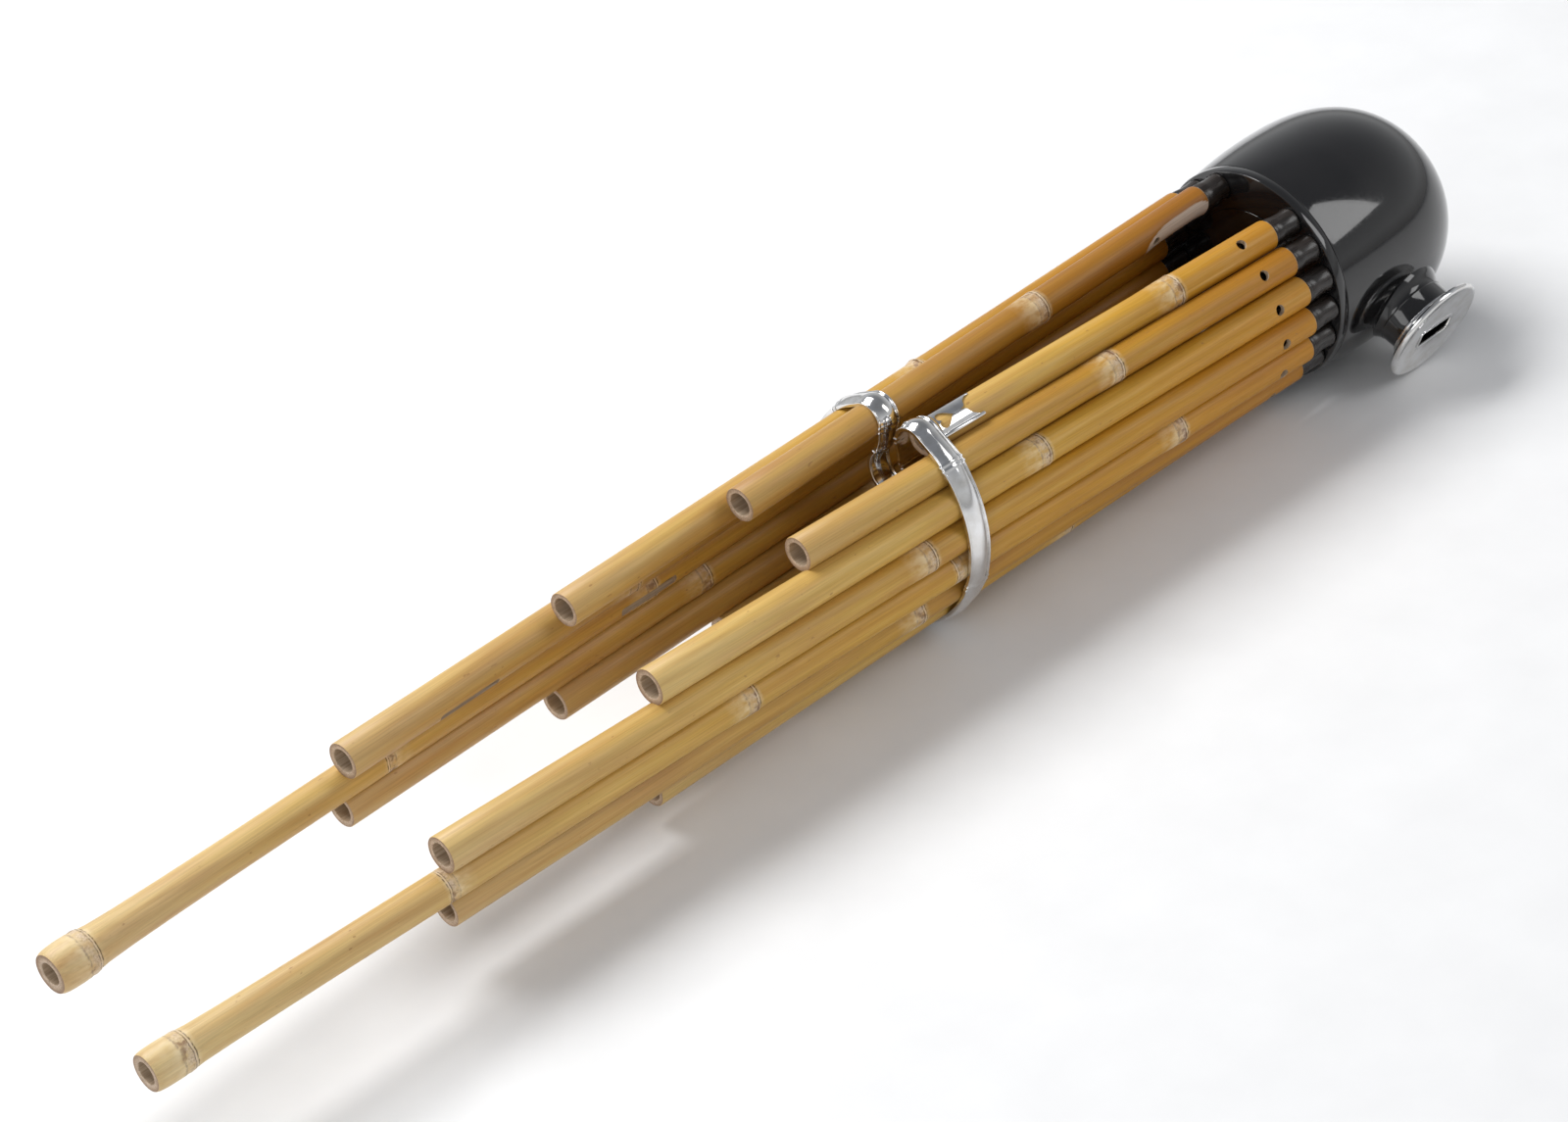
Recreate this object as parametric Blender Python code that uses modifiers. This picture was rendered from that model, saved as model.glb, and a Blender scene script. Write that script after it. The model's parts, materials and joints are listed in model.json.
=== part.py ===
"""Sho mouth organ: seventeen bamboo pipes in a ring on a lacquered wind chest.

The instrument lies on a flat surface, as it does when it is put down. Its own axis is X: the pipes
reach towards -X and the bottom of the wind chest faces +X. The origin is the centre of the chest
plate's flat face, where the pipes enter the chest. Around the axis a direction is given by an angle
from +Z towards -Y. The finger gap in the ring of pipes points up, the mouthpiece towards -Y.
"""

import math

import bmesh
import bpy
from mathutils import Matrix, Vector

MM = 0.001
CLEARANCE = 0.3 * MM

# Ring of pipes: seventeen in a round, open at the finger gap. Towards the tips the gap narrows and
# the two wings draw together, so that the round turns into an oval
RING_RADIUS = 30.5 * MM
SPACING = 19.1
SPACING_GROWTH = 7.25
WING_CLOSING = 0.0153
OVAL_SPACING = 0.425
BACK_PIPE = 9
GAP_ANGLE = 5.5

# Bamboo pipes
PIPE_DIAMETER = 9.6 * MM
PIPE_BORE = 6.8 * MM
PIPE_LENGTHS = {1: 147.0 * MM, 2: 204.0 * MM, 3: 266.0 * MM, 4: 344.0 * MM, 5: 444.0 * MM}
FINGER_HOLE_DIAMETER = 3.4 * MM
FINGER_HOLE_HEIGHT = 14.0 * MM
THUMB_HOLE_HEIGHT = 25.0 * MM
THUMB_HOLE_TURN = 36.0
HOLLOW_TURN = 46.0
HOLLOW_HEIGHT = 14.0 * MM
HOLLOW_DEPTH = 0.9 * MM
HOLLOW_REACH = (9.0 * MM, 9.0 * MM, 28.0 * MM)
SLOT_LENGTH = 22.0 * MM
SLOT_WIDTH = 2.6 * MM
LOWEST_NOTE_SLOT = 336.3 * MM
LOWEST_NOTE = 440.0
SLOT_EXPONENT = 0.83
TIP_SWELL = {5: 1.1 * MM, 14: 1.8 * MM}

# Each pipe: name, length class, sounding note in hertz (0 for the two silent pipes), finger hole
PIPES = [
    ("sen", 1, 1480.0, "outward"),
    ("ju", 2, 784.0, "outward"),
    ("ge", 3, 740.0, "outward"),
    ("otsu", 4, 659.0, "outward"),
    ("ku", 5, 554.0, "outward"),
    ("bi", 4, 831.0, "outward"),
    ("ichi", 3, 494.0, "outward"),
    ("hachi", 2, 1319.0, "outward"),
    ("ya", 1, 0.0, "none"),
    ("gon", 1, 1109.0, "outward"),
    ("shichi", 2, 988.0, "outward"),
    ("gyo", 3, 880.0, "outward"),
    ("jo", 4, 1175.0, "outward"),
    ("bo", 5, 587.0, "outward"),
    ("kotsu", 4, 440.0, "outward"),
    ("mo", 3, 0.0, "none"),
    ("hi", 2, 1047.0, "gap"),
]

# Black root stems that carry the pipes into the chest
STEM_SHOWING = 10.5 * MM
STEM_DEPTH = 34.5 * MM
STEM_BORE = 4.2 * MM
TENON_LENGTH = 8.7 * MM
STEM_HOLE_DIAMETER = 7.4 * MM
STEM_FLOOR = 2.0 * MM
STEM_END_RADIUS = 2.95 * MM
COLLAR_TOP_RADIUS = 4.6 * MM
COLLAR_WAIST_RADIUS = 4.2 * MM
COLLAR_WAIST_HEIGHT = 6.0 * MM
COLLAR_FOOT_RADIUS = 4.4 * MM
REED_FLAT = 2.75 * MM
WINDOW_LENGTH = 12.6 * MM
WINDOW_WIDTH = 2.8 * MM
WINDOW_TOP = -18.4 * MM
REED_THICKNESS = 0.4 * MM
REED_SINK = 0.1 * MM

# Wind chest
RIM_RADIUS = 35.8 * MM
BELLY_RADIUS = 37.4 * MM
BELLY_DEPTH = 26.0 * MM
CHEST_DEPTH = 72.0 * MM
CHEST_WALL = 2.3 * MM
RIM_WALL = 1.3 * MM
BOWL_ROUNDNESS = 2.6
PLATE_THICKNESS = 3.5 * MM
PLATE_EDGE = 0.6 * MM
GROOVE_RADIUS = 23.0 * MM
GROOVE_SIZE = 0.8 * MM

# Mouthpiece
MOUTH_ANGLE = 114.5
MOUTH_DEPTH = 32.5 * MM
NECK_WIDTH = 26.0 * MM
NECK_HEIGHT = 21.0 * MM
NECK_WALL = 2.5 * MM
NECK_START = 34.6 * MM
FLANGE_FACE = 50.0 * MM
FLANGE_DIAMETER = 36.6 * MM
FLANGE_THICKNESS = 2.0 * MM
FLANGE_EDGE = 0.7 * MM
SLEEVE_LENGTH = 2.6 * MM
SLEEVE_WALL = 0.9 * MM
BLOW_SLOT_LENGTH = 14.0 * MM
BLOW_SLOT_WIDTH = 6.0 * MM

# Silver band around the pipes
BAND_START = 143.3 * MM
BAND_WIDTH = 8.2 * MM
BAND_THICKNESS = 0.8 * MM
BAND_RIM = 0.35 * MM
BAND_CROWN = 1.0 * MM
PIPE_CONTACT = 4.0
GAP_WRAP = 98.0
NECK_HALF_WIDTH = 4.1 * MM
NECK_HEIGHT_IN_BAND = 24.4 * MM
LOOP_RADIUS = 8.3 * MM
LOOP_HEIGHT = 14.2 * MM
LOOP_OPENING = 37.0

# Pierced plate on the first pipe, beside the band
PLATE_LENGTH = 15.8 * MM
PLATE_CUSP = 9.3 * MM
PLATE_HALF_ANGLE = 45.0
PLATE_SKIN = 0.6 * MM
PLATE_TURN = 2.0
HEART_START = 1.9 * MM
HEART_LENGTH = 6.2 * MM
HEART_WIDTH = 5.2 * MM
BAR_RADIUS = 0.7 * MM

PARTS = "sho_mouth_organ"
CUTTERS = "sho_cutters"


def clear_scene():
    for obj in list(bpy.data.objects):
        bpy.data.objects.remove(obj)


def new_collection(name):
    collection = bpy.data.collections.new(name)
    bpy.context.scene.collection.children.link(collection)
    return collection


def material(name, colour, roughness, metallic=0.0, coat=0.0):
    mat = bpy.data.materials.new(name)
    mat.use_nodes = True
    shader = mat.node_tree.nodes["Principled BSDF"]
    shader.inputs["Base Color"].default_value = (*colour, 1.0)
    shader.inputs["Roughness"].default_value = roughness
    shader.inputs["Metallic"].default_value = metallic
    shader.inputs["Coat Weight"].default_value = coat
    mat.diffuse_color = (*colour, 1.0)
    return mat


def outward(angle):
    """Unit vector square to the axis, at an angle in degrees from +Z towards -Y."""
    turn = math.radians(angle)
    return Vector((0.0, -math.sin(turn), math.cos(turn)))


def frame(origin, z_axis, x_hint):
    """A placement whose Z is z_axis and whose X is as near as it can be to x_hint."""
    z_axis = z_axis.normalized()
    x_axis = (x_hint - z_axis * x_hint.dot(z_axis)).normalized()
    y_axis = z_axis.cross(x_axis)
    placement = Matrix((x_axis, y_axis, z_axis)).transposed().to_4x4()
    placement.translation = origin
    return placement


def empty(name, placement, parent=None):
    guide = bpy.data.objects.new(name, None)
    guide.empty_display_size = 0.01
    bpy.data.collections[PARTS].objects.link(guide)
    guide.parent = parent
    guide.matrix_world = placement
    return guide


def add_object(name, mesh, mat, parent, collection=PARTS):
    obj = bpy.data.objects.new(name, mesh)
    bpy.data.collections[collection].objects.link(obj)
    obj.parent = parent
    if mat is not None:
        mesh.materials.append(mat)
    if collection == CUTTERS:
        obj.hide_render = True
        obj.display_type = "WIRE"
    return obj


def smooth(obj, angle=35.0):
    obj.data.shade_smooth()
    obj.data.set_sharp_from_angle(angle=math.radians(angle))


def turned(name, profile, steps, mat, parent, closed=True, collection=PARTS):
    """A turned piece: (radius, height) points run down the outer side and back up the inner one."""
    mesh = bpy.data.meshes.new(name)
    count = len(profile)
    edges = [(i, i + 1) for i in range(count - 1)]
    if closed:
        edges.append((count - 1, 0))
    mesh.from_pydata([(radius, 0.0, height) for radius, height in profile], edges, [])
    obj = add_object(name, mesh, mat, parent, collection)
    screw = obj.modifiers.new("Turn", "SCREW")
    screw.axis = "Z"
    screw.steps = steps
    screw.render_steps = steps
    screw.use_merge_vertices = True
    screw.merge_threshold = 0.00005
    screw.use_smooth_shade = True
    return obj


def box(mesh_tool, centre, size):
    placement = Matrix.Translation(centre) @ Matrix.Diagonal((*size, 1.0))
    bmesh.ops.create_cube(mesh_tool, size=1.0, matrix=placement)


def drum(mesh_tool, placement, radius, depth, sides):
    bmesh.ops.create_cone(mesh_tool, cap_ends=True, cap_tris=False, segments=sides,
                          radius1=radius, radius2=radius, depth=depth, matrix=placement)


def mesh_object(name, build, mat, parent, collection=PARTS):
    """An object whose mesh is filled by a function that adds primitives to a bmesh."""
    mesh_tool = bmesh.new()
    build(mesh_tool)
    mesh = bpy.data.meshes.new(name)
    mesh_tool.to_mesh(mesh)
    mesh_tool.free()
    return add_object(name, mesh, mat, parent, collection)


def boolean(obj, cutter, operation="DIFFERENCE"):
    cut = obj.modifiers.new(cutter.name, "BOOLEAN")
    cut.operation = operation
    cut.solver = "EXACT"
    cut.object = cutter
    return cut


def mesh_from_curve(name, curve_object, mat, parent, collection=PARTS):
    """Turns a finished curve object into a welded mesh object in the same place."""
    bpy.context.view_layer.update()
    graph = bpy.context.evaluated_depsgraph_get()
    mesh = bpy.data.meshes.new_from_object(curve_object.evaluated_get(graph))
    mesh_tool = bmesh.new()
    mesh_tool.from_mesh(mesh)
    bmesh.ops.remove_doubles(mesh_tool, verts=mesh_tool.verts, dist=0.00001)
    bmesh.ops.recalc_face_normals(mesh_tool, faces=mesh_tool.faces)
    mesh_tool.to_mesh(mesh)
    mesh_tool.free()
    obj = add_object(name, mesh, mat, parent, collection)
    obj.matrix_world = curve_object.matrix_world
    bpy.data.objects.remove(curve_object)
    return obj


def ring_centre(number, height):
    """Centre of a pipe's place, at a height above the foot of the bamboo, square to the axis."""
    spacing = SPACING + SPACING_GROWTH * height
    half_chord = RING_RADIUS * math.sin(math.radians(SPACING / 2.0))
    radius = half_chord / math.sin(math.radians(spacing / 2.0))
    closing = WING_CLOSING * height
    turn = math.radians((number - BACK_PIPE) * spacing)
    turn += OVAL_SPACING * closing / radius * math.sin(2.0 * turn)
    back = outward(GAP_ANGLE + 180.0) * (radius + closing) * math.cos(turn)
    across = outward(GAP_ANGLE + 270.0) * (radius - closing) * math.sin(turn)
    return back + across


def pipe_placement(number):
    """Origin at the foot of the bamboo, Z towards its open tip, X away from the ring's middle."""
    length = PIPE_LENGTHS[PIPES[number - 1][1]]
    foot = ring_centre(number, 0.0)
    tip = ring_centre(number, length)
    outside = foot.normalized()
    foot.x = -STEM_SHOWING
    tip.x = -STEM_SHOWING - length
    return frame(foot, tip - foot, outside)


def slot_height(note, length):
    """Middle of the tuning slot: low notes have it far up the pipe, within the pipe's own length."""
    sounding = LOWEST_NOTE_SLOT * (LOWEST_NOTE / note) ** SLOT_EXPONENT
    return min(sounding - STEM_DEPTH, length - SLOT_LENGTH)


def pipe_profile(number, length):
    outer = PIPE_DIAMETER / 2.0
    bore = PIPE_BORE / 2.0
    swell = TIP_SWELL.get(number, 0.0)
    profile = []
    if swell:
        profile += [
            (outer + swell * 0.55, length),
            (outer + swell, length - 4.0 * MM),
            (outer + swell, length - 9.0 * MM),
            (outer + swell * 0.5, length - 15.0 * MM),
            (outer + swell * 0.35, length - 60.0 * MM),
            (outer, length * 0.78),
        ]
    else:
        profile += [(outer, length), (outer, length * 0.5)]
    profile += [(outer, 0.0), (bore, 0.0), (bore, length)]
    return profile


def make_pipe(number, axis, mat):
    name, length_class, note, hole = PIPES[number - 1]
    length = PIPE_LENGTHS[length_class]
    label = f"{number:02d}_{name}"
    pipe = turned(f"pipe_{label}", pipe_profile(number, length), 16, mat, axis)

    def cuts(mesh_tool):
        if note:
            middle = Vector((-PIPE_DIAMETER / 2.0, 0.0, slot_height(note, length)))
            box(mesh_tool, middle, (4.0 * MM, SLOT_WIDTH, SLOT_LENGTH))
        if hole == "outward":
            place = Vector((PIPE_DIAMETER / 2.0, 0.0, FINGER_HOLE_HEIGHT))
            turn = Matrix.Rotation(math.pi / 2.0, 4, "Y")
            drum(mesh_tool, Matrix.Translation(place) @ turn, FINGER_HOLE_DIAMETER / 2.0, 5.0 * MM, 10)
        if hole == "gap":
            place = Vector((0.0, -PIPE_DIAMETER / 2.0, THUMB_HOLE_HEIGHT))
            turn = Matrix.Rotation(math.pi / 2.0, 4, "X")
            round_pipe = Matrix.Rotation(math.radians(-THUMB_HOLE_TURN), 4, "Z")
            placement = round_pipe @ Matrix.Translation(place) @ turn
            drum(mesh_tool, placement, FINGER_HOLE_DIAMETER / 2.0, 5.0 * MM, 10)

    if hole == "gap":
        boolean(pipe, scraped_hollow(label, axis))
    if note:
        boolean(pipe, mesh_object(f"pipe_cuts_{label}", cuts, None, axis, CUTTERS))
    return pipe


def scraped_hollow(label, axis):
    """The shallow hollow scraped from the chest end to the finger hole that faces into the gap."""
    middle = Vector((0.0, -(PIPE_DIAMETER / 2.0 - HOLLOW_DEPTH + HOLLOW_REACH[1]), HOLLOW_HEIGHT))
    round_pipe = Matrix.Rotation(math.radians(-HOLLOW_TURN), 4, "Z")

    def build(mesh_tool):
        placement = round_pipe @ Matrix.Translation(middle) @ Matrix.Diagonal((*HOLLOW_REACH, 1.0))
        bmesh.ops.create_uvsphere(mesh_tool, u_segments=32, v_segments=24, radius=1.0, matrix=placement)

    return mesh_object(f"scraped_hollow_{label}", build, None, axis, CUTTERS)


def make_stem(number, axis, mat):
    """The root stem: a tenon in the bamboo, a collar that shows, and a blind tube in the chest."""
    name, _, note, _ = PIPES[number - 1]
    label = f"{number:02d}_{name}"
    bore = STEM_BORE / 2.0
    tenon = PIPE_BORE / 2.0 - CLEARANCE
    shank = STEM_HOLE_DIAMETER / 2.0 - CLEARANCE
    collar_foot = -STEM_SHOWING + CLEARANCE
    profile = [
        (0.0, -STEM_DEPTH + STEM_FLOOR),
        (bore, -STEM_DEPTH + STEM_FLOOR),
        (bore, TENON_LENGTH),
        (tenon, TENON_LENGTH),
        (tenon, -CLEARANCE),
        (COLLAR_TOP_RADIUS, -CLEARANCE),
        (COLLAR_WAIST_RADIUS, -COLLAR_WAIST_HEIGHT),
        (COLLAR_FOOT_RADIUS, collar_foot),
        (shank, collar_foot),
        (shank, -STEM_SHOWING - PLATE_THICKNESS - 2.0 * MM),
        (STEM_END_RADIUS, -STEM_DEPTH),
        (0.0, -STEM_DEPTH),
    ]
    stem = turned(f"stem_{label}", profile, 12, mat, axis, closed=False)
    if note:
        def cuts(mesh_tool):
            flat_length = WINDOW_LENGTH + 3.6 * MM
            flat_middle = WINDOW_TOP - WINDOW_LENGTH / 2.0
            box(mesh_tool, Vector((-REED_FLAT - 2.0 * MM, 0.0, flat_middle)),
                (4.0 * MM, 9.0 * MM, flat_length))

        def window(mesh_tool):
            middle = WINDOW_TOP - WINDOW_LENGTH / 2.0
            box(mesh_tool, Vector((-2.6 * MM, 0.0, middle)), (4.4 * MM, WINDOW_WIDTH, WINDOW_LENGTH))

        boolean(stem, mesh_object(f"reed_flat_{label}", cuts, None, axis, CUTTERS))
        boolean(stem, mesh_object(f"reed_window_{label}", window, None, axis, CUTTERS))
    return stem


def make_reed(number, axis, mat):
    """A free reed: a thin tongue in its window, with its origin on its root's bending line."""
    label = f"{number:02d}_{PIPES[number - 1][0]}"
    depth = -REED_FLAT + REED_SINK + REED_THICKNESS / 2.0
    root_height = WINDOW_TOP - WINDOW_LENGTH + CLEARANCE
    length = WINDOW_LENGTH - 2.0 * CLEARANCE
    width = WINDOW_WIDTH - 2.0 * CLEARANCE
    root = axis.matrix_world @ Matrix.Translation((depth, 0.0, root_height))
    hinge = empty(f"reed_root_{label}", root, axis)

    def build(mesh_tool):
        box(mesh_tool, Vector((0.0, 0.0, length / 2.0)), (REED_THICKNESS, width, length))

    return mesh_object(f"reed_{label}", build, mat, hinge)


def bowl_curve(belly, end, rim, lip, count):
    """Points of the bowl's side from its lip to its bottom, as (radius, depth below the plate)."""
    points = []
    for step in range(4):
        depth = lip + (BELLY_DEPTH - lip) * step / 4.0
        points.append((belly - (belly - rim) * ((BELLY_DEPTH - depth) / (BELLY_DEPTH - lip)) ** 2, depth))
    power = 2.0 / BOWL_ROUNDNESS
    for step in range(count + 1):
        turn = math.radians(90.0 * step / count)
        radius = belly * max(math.cos(turn), 0.0) ** power
        depth = BELLY_DEPTH + (end - BELLY_DEPTH) * math.sin(turn) ** power
        points.append((0.0 if step == count else radius, depth))
    return points


def make_chest(axis, mat):
    """The bowl: a lacquered wooden shell, open towards the pipes, with a hole for the mouthpiece."""
    lip = PLATE_THICKNESS + CLEARANCE
    outside = bowl_curve(BELLY_RADIUS, CHEST_DEPTH, RIM_RADIUS, lip, 8)
    inside = bowl_curve(BELLY_RADIUS - CHEST_WALL, CHEST_DEPTH - CHEST_WALL, RIM_RADIUS - RIM_WALL, lip, 8)
    profile = [(radius, -depth) for radius, depth in reversed(inside)]
    profile += [(radius, -depth) for radius, depth in outside]
    chest = turned("wind_chest", profile, 40, mat, axis, closed=False)
    mouth = mouth_placement()
    cutter = mesh_object("neck_hole", lambda tool: oval(tool, NECK_WIDTH + 2.0 * CLEARANCE,
                                                        NECK_HEIGHT + 2.0 * CLEARANCE,
                                                        NECK_START - 9.0 * MM, FLANGE_FACE, 32),
                         None, None, CUTTERS)
    cutter.matrix_world = mouth
    boolean(chest, cutter)
    return chest


def make_chest_plate(axis, mat):
    """The plate that closes the bowl, bored for the seventeen stems, with a turned groove inside them."""
    def disc(mesh_tool):
        middle = Matrix.Translation((0.0, 0.0, -PLATE_THICKNESS / 2.0))
        drum(mesh_tool, middle, RIM_RADIUS, PLATE_THICKNESS, 40)

    plate = mesh_object("chest_plate", disc, mat, axis)
    bevel = plate.modifiers.new("Edge", "BEVEL")
    bevel.width = PLATE_EDGE
    bevel.segments = 1
    bevel.limit_method = "ANGLE"
    bevel.angle_limit = math.radians(60.0)

    def holes(mesh_tool):
        for number in range(1, len(PIPES) + 1):
            placement = pipe_placement(number)
            middle = Matrix.Translation((0.0, 0.0, -STEM_SHOWING - PLATE_THICKNESS / 2.0))
            drum(mesh_tool, placement @ middle, STEM_HOLE_DIAMETER / 2.0, PLATE_THICKNESS * 3.0, 12)

    cutter = mesh_object("stem_holes", holes, None, None, CUTTERS)
    boolean(plate, cutter)
    half = GROOVE_SIZE / 2.0
    groove = turned("plate_groove", [(GROOVE_RADIUS + half, half), (GROOVE_RADIUS + half, -half),
                                     (GROOVE_RADIUS - half, -half), (GROOVE_RADIUS - half, half)],
                    40, None, axis, collection=CUTTERS)
    boolean(plate, groove)
    return plate


def mouth_placement():
    """Origin on the instrument's axis, Z out through the mouthpiece, X along the instrument."""
    return frame(Vector((MOUTH_DEPTH, 0.0, 0.0)), outward(MOUTH_ANGLE), Vector((1.0, 0.0, 0.0)))


def oval(mesh_tool, width, height, start, end, sides):
    stretch = Matrix.Diagonal((width / 2.0, height / 2.0, 1.0, 1.0))
    placement = Matrix.Translation((0.0, 0.0, (start + end) / 2.0)) @ stretch
    drum(mesh_tool, placement, 1.0, end - start, sides)


def make_mouthpiece(wood, silver):
    """A short oval neck of lacquered wood with a silver cap: sleeve, round flange and blow slot."""
    placement = mouth_placement()
    axis = empty("mouthpiece_axis", placement)
    neck_end = FLANGE_FACE - FLANGE_THICKNESS - CLEARANCE
    neck = mesh_object("mouthpiece_neck", lambda tool: oval(tool, NECK_WIDTH, NECK_HEIGHT, NECK_START,
                                                            neck_end, 32), wood, axis)
    channel = mesh_object("neck_channel", lambda tool: oval(tool, NECK_WIDTH - 2.0 * NECK_WALL,
                                                            NECK_HEIGHT - 2.0 * NECK_WALL,
                                                            NECK_START - 5.0 * MM, neck_end + 5.0 * MM, 32),
                          None, axis, CUTTERS)
    boolean(neck, channel)

    def flange(mesh_tool):
        middle = Matrix.Translation((0.0, 0.0, FLANGE_FACE - FLANGE_THICKNESS / 2.0))
        drum(mesh_tool, middle, FLANGE_DIAMETER / 2.0, FLANGE_THICKNESS, 44)

    cap = mesh_object("mouthpiece_cap", flange, silver, axis)
    bevel = cap.modifiers.new("Rim", "BEVEL")
    bevel.width = FLANGE_EDGE
    bevel.segments = 2
    bevel.limit_method = "ANGLE"
    bevel.angle_limit = math.radians(60.0)
    grow = 2.0 * (CLEARANCE + SLEEVE_WALL)
    sleeve_start = FLANGE_FACE - FLANGE_THICKNESS - SLEEVE_LENGTH
    sleeve = mesh_object("cap_sleeve", lambda tool: oval(tool, NECK_WIDTH + grow, NECK_HEIGHT + grow, sleeve_start,
                                                         FLANGE_FACE - FLANGE_THICKNESS / 2.0, 32),
                         None, axis, CUTTERS)
    boolean(cap, sleeve, "UNION")
    hollow = mesh_object("cap_hollow", lambda tool: oval(tool, NECK_WIDTH + 2.0 * CLEARANCE,
                                                         NECK_HEIGHT + 2.0 * CLEARANCE,
                                                         sleeve_start - 3.0 * MM,
                                                         FLANGE_FACE - FLANGE_THICKNESS, 32),
                         None, axis, CUTTERS)
    boolean(cap, hollow)
    slot = mesh_object("blow_slot", lambda tool: box(tool, Vector((0.0, 0.0, FLANGE_FACE)),
                                                     (BLOW_SLOT_LENGTH, BLOW_SLOT_WIDTH, 8.0 * MM)),
                       None, axis, CUTTERS)
    boolean(cap, slot)
    return neck, cap


def arc(centre, radius, start, end, count):
    """Points round a centre; an angle of 0 is towards the gap and 90 towards the first wing."""
    points = []
    for step in range(count + 1):
        turn = math.radians(start + (end - start) * step / count)
        points.append(centre + Vector((math.sin(turn), math.cos(turn))) * radius)
    return points


def band_spot(number, height):
    """Where a pipe crosses the band's plane: X towards the first wing, Y towards the gap."""
    placement = pipe_placement(number)
    foot = placement.translation
    along = placement.col[2].to_3d()
    spot = foot - along * (height / along.x)
    return Vector((spot.dot(outward(GAP_ANGLE + 90.0)), spot.dot(outward(GAP_ANGLE))))


def band_path():
    """The band's closed middle line. It runs over every pipe, turns in between the first and the last,
    and makes a round loop inside the ring."""
    height = BAND_START + BAND_WIDTH / 2.0
    hug = PIPE_DIAMETER / 2.0 + CLEARANCE + BAND_THICKNESS / 2.0
    spots = [band_spot(number, height) for number in range(1, len(PIPES) + 1)]
    first = math.degrees(math.atan2(spots[0].x, spots[0].y))
    last = math.degrees(math.atan2(spots[-1].x, spots[-1].y))
    loop = Vector((0.0, LOOP_HEIGHT))
    neck = Vector((NECK_HALF_WIDTH, NECK_HEIGHT_IN_BAND))
    path = arc(loop, LOOP_RADIUS, 180.0, LOOP_OPENING, 10) + [neck]
    path += arc(spots[0], hug, -GAP_WRAP, first + PIPE_CONTACT, 8)
    for spot in spots[1:-1]:
        outside = math.degrees(math.atan2(spot.x, spot.y)) % 360.0
        path += arc(spot, hug, outside - PIPE_CONTACT, outside + PIPE_CONTACT, 1)
    path += arc(spots[-1], hug, last - PIPE_CONTACT, GAP_WRAP, 8)
    path += [Vector((-neck.x, neck.y))] + arc(loop, LOOP_RADIUS, -LOOP_OPENING, -180.0, 10)[:-1]
    return path


def band_section():
    """Cross-section of the band: (inward, along the pipes), a crowned strip between raised rims."""
    half = BAND_WIDTH / 2.0
    skin = BAND_THICKNESS / 2.0
    rim = skin + BAND_RIM
    valley = skin + 0.1 * MM
    crown = skin + BAND_CROWN
    step = 0.8 * MM
    return [
        (skin, -half),
        (-rim, -half),
        (-rim, step - half),
        (-valley, step * 1.2 - half),
        (-(valley + crown) / 2.0 - 0.15 * MM, -half * 0.5),
        (-crown, 0.0),
        (-(valley + crown) / 2.0 - 0.15 * MM, half * 0.5),
        (-valley, half - step * 1.2),
        (-rim, half - step),
        (-rim, half),
        (skin, half),
    ]


def flat_curve(name, outlines):
    """A flat curve object made of closed straight-sided outlines."""
    curve = bpy.data.curves.new(name, "CURVE")
    curve.dimensions = "2D"
    for points, closed in outlines:
        spline = curve.splines.new("POLY")
        spline.points.add(len(points) - 1)
        for spot, point in zip(spline.points, points):
            spot.co = (point[0], point[1], 0.0, 1.0)
        spline.use_cyclic_u = closed
    obj = bpy.data.objects.new(name, curve)
    bpy.data.collections[PARTS].objects.link(obj)
    return obj


def make_band(axis_placement, silver):
    """The silver band: one closed strip swept round both wings and in through the finger gap."""
    section = flat_curve("band_section", [(band_section(), True)])
    path = flat_curve("band_path", [(band_path(), True)])
    path.data.bevel_mode = "OBJECT"
    path.data.bevel_object = section
    path.matrix_world = axis_placement
    band = mesh_from_curve("silver_band", path, silver, None)
    bpy.data.objects.remove(section)
    return band


def heart_outline(cleft, length, width):
    """A heart that points along +X, with its cleft at a given distance from the band."""
    points = []
    for step in range(24):
        turn = 2.0 * math.pi * step / 24.0
        across = 16.0 * math.sin(turn) ** 3
        along = 13.0 * math.cos(turn) - 5.0 * math.cos(2.0 * turn)
        along -= 2.0 * math.cos(3.0 * turn) + math.cos(4.0 * turn)
        points.append((cleft + (5.0 - along) * length / 29.0, across * width / 32.0))
    return points


def plate_outline(half_width):
    """Outline of the pierced plate: square at the band, with two horns and a cusp at the other end."""
    side = [(PLATE_CUSP, 0.0)]
    for reach, across in ((0.33, 0.23), (0.43, 0.56), (0.55, 0.71), (0.72, 0.84), (1.0, 1.0)):
        side.append((PLATE_CUSP + (PLATE_LENGTH - PLATE_CUSP) * reach, half_width * across))
    return [(0.0, -half_width), (0.0, half_width)] + side[::-1] + [(x, -y) for x, y in side[1:]]


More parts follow.
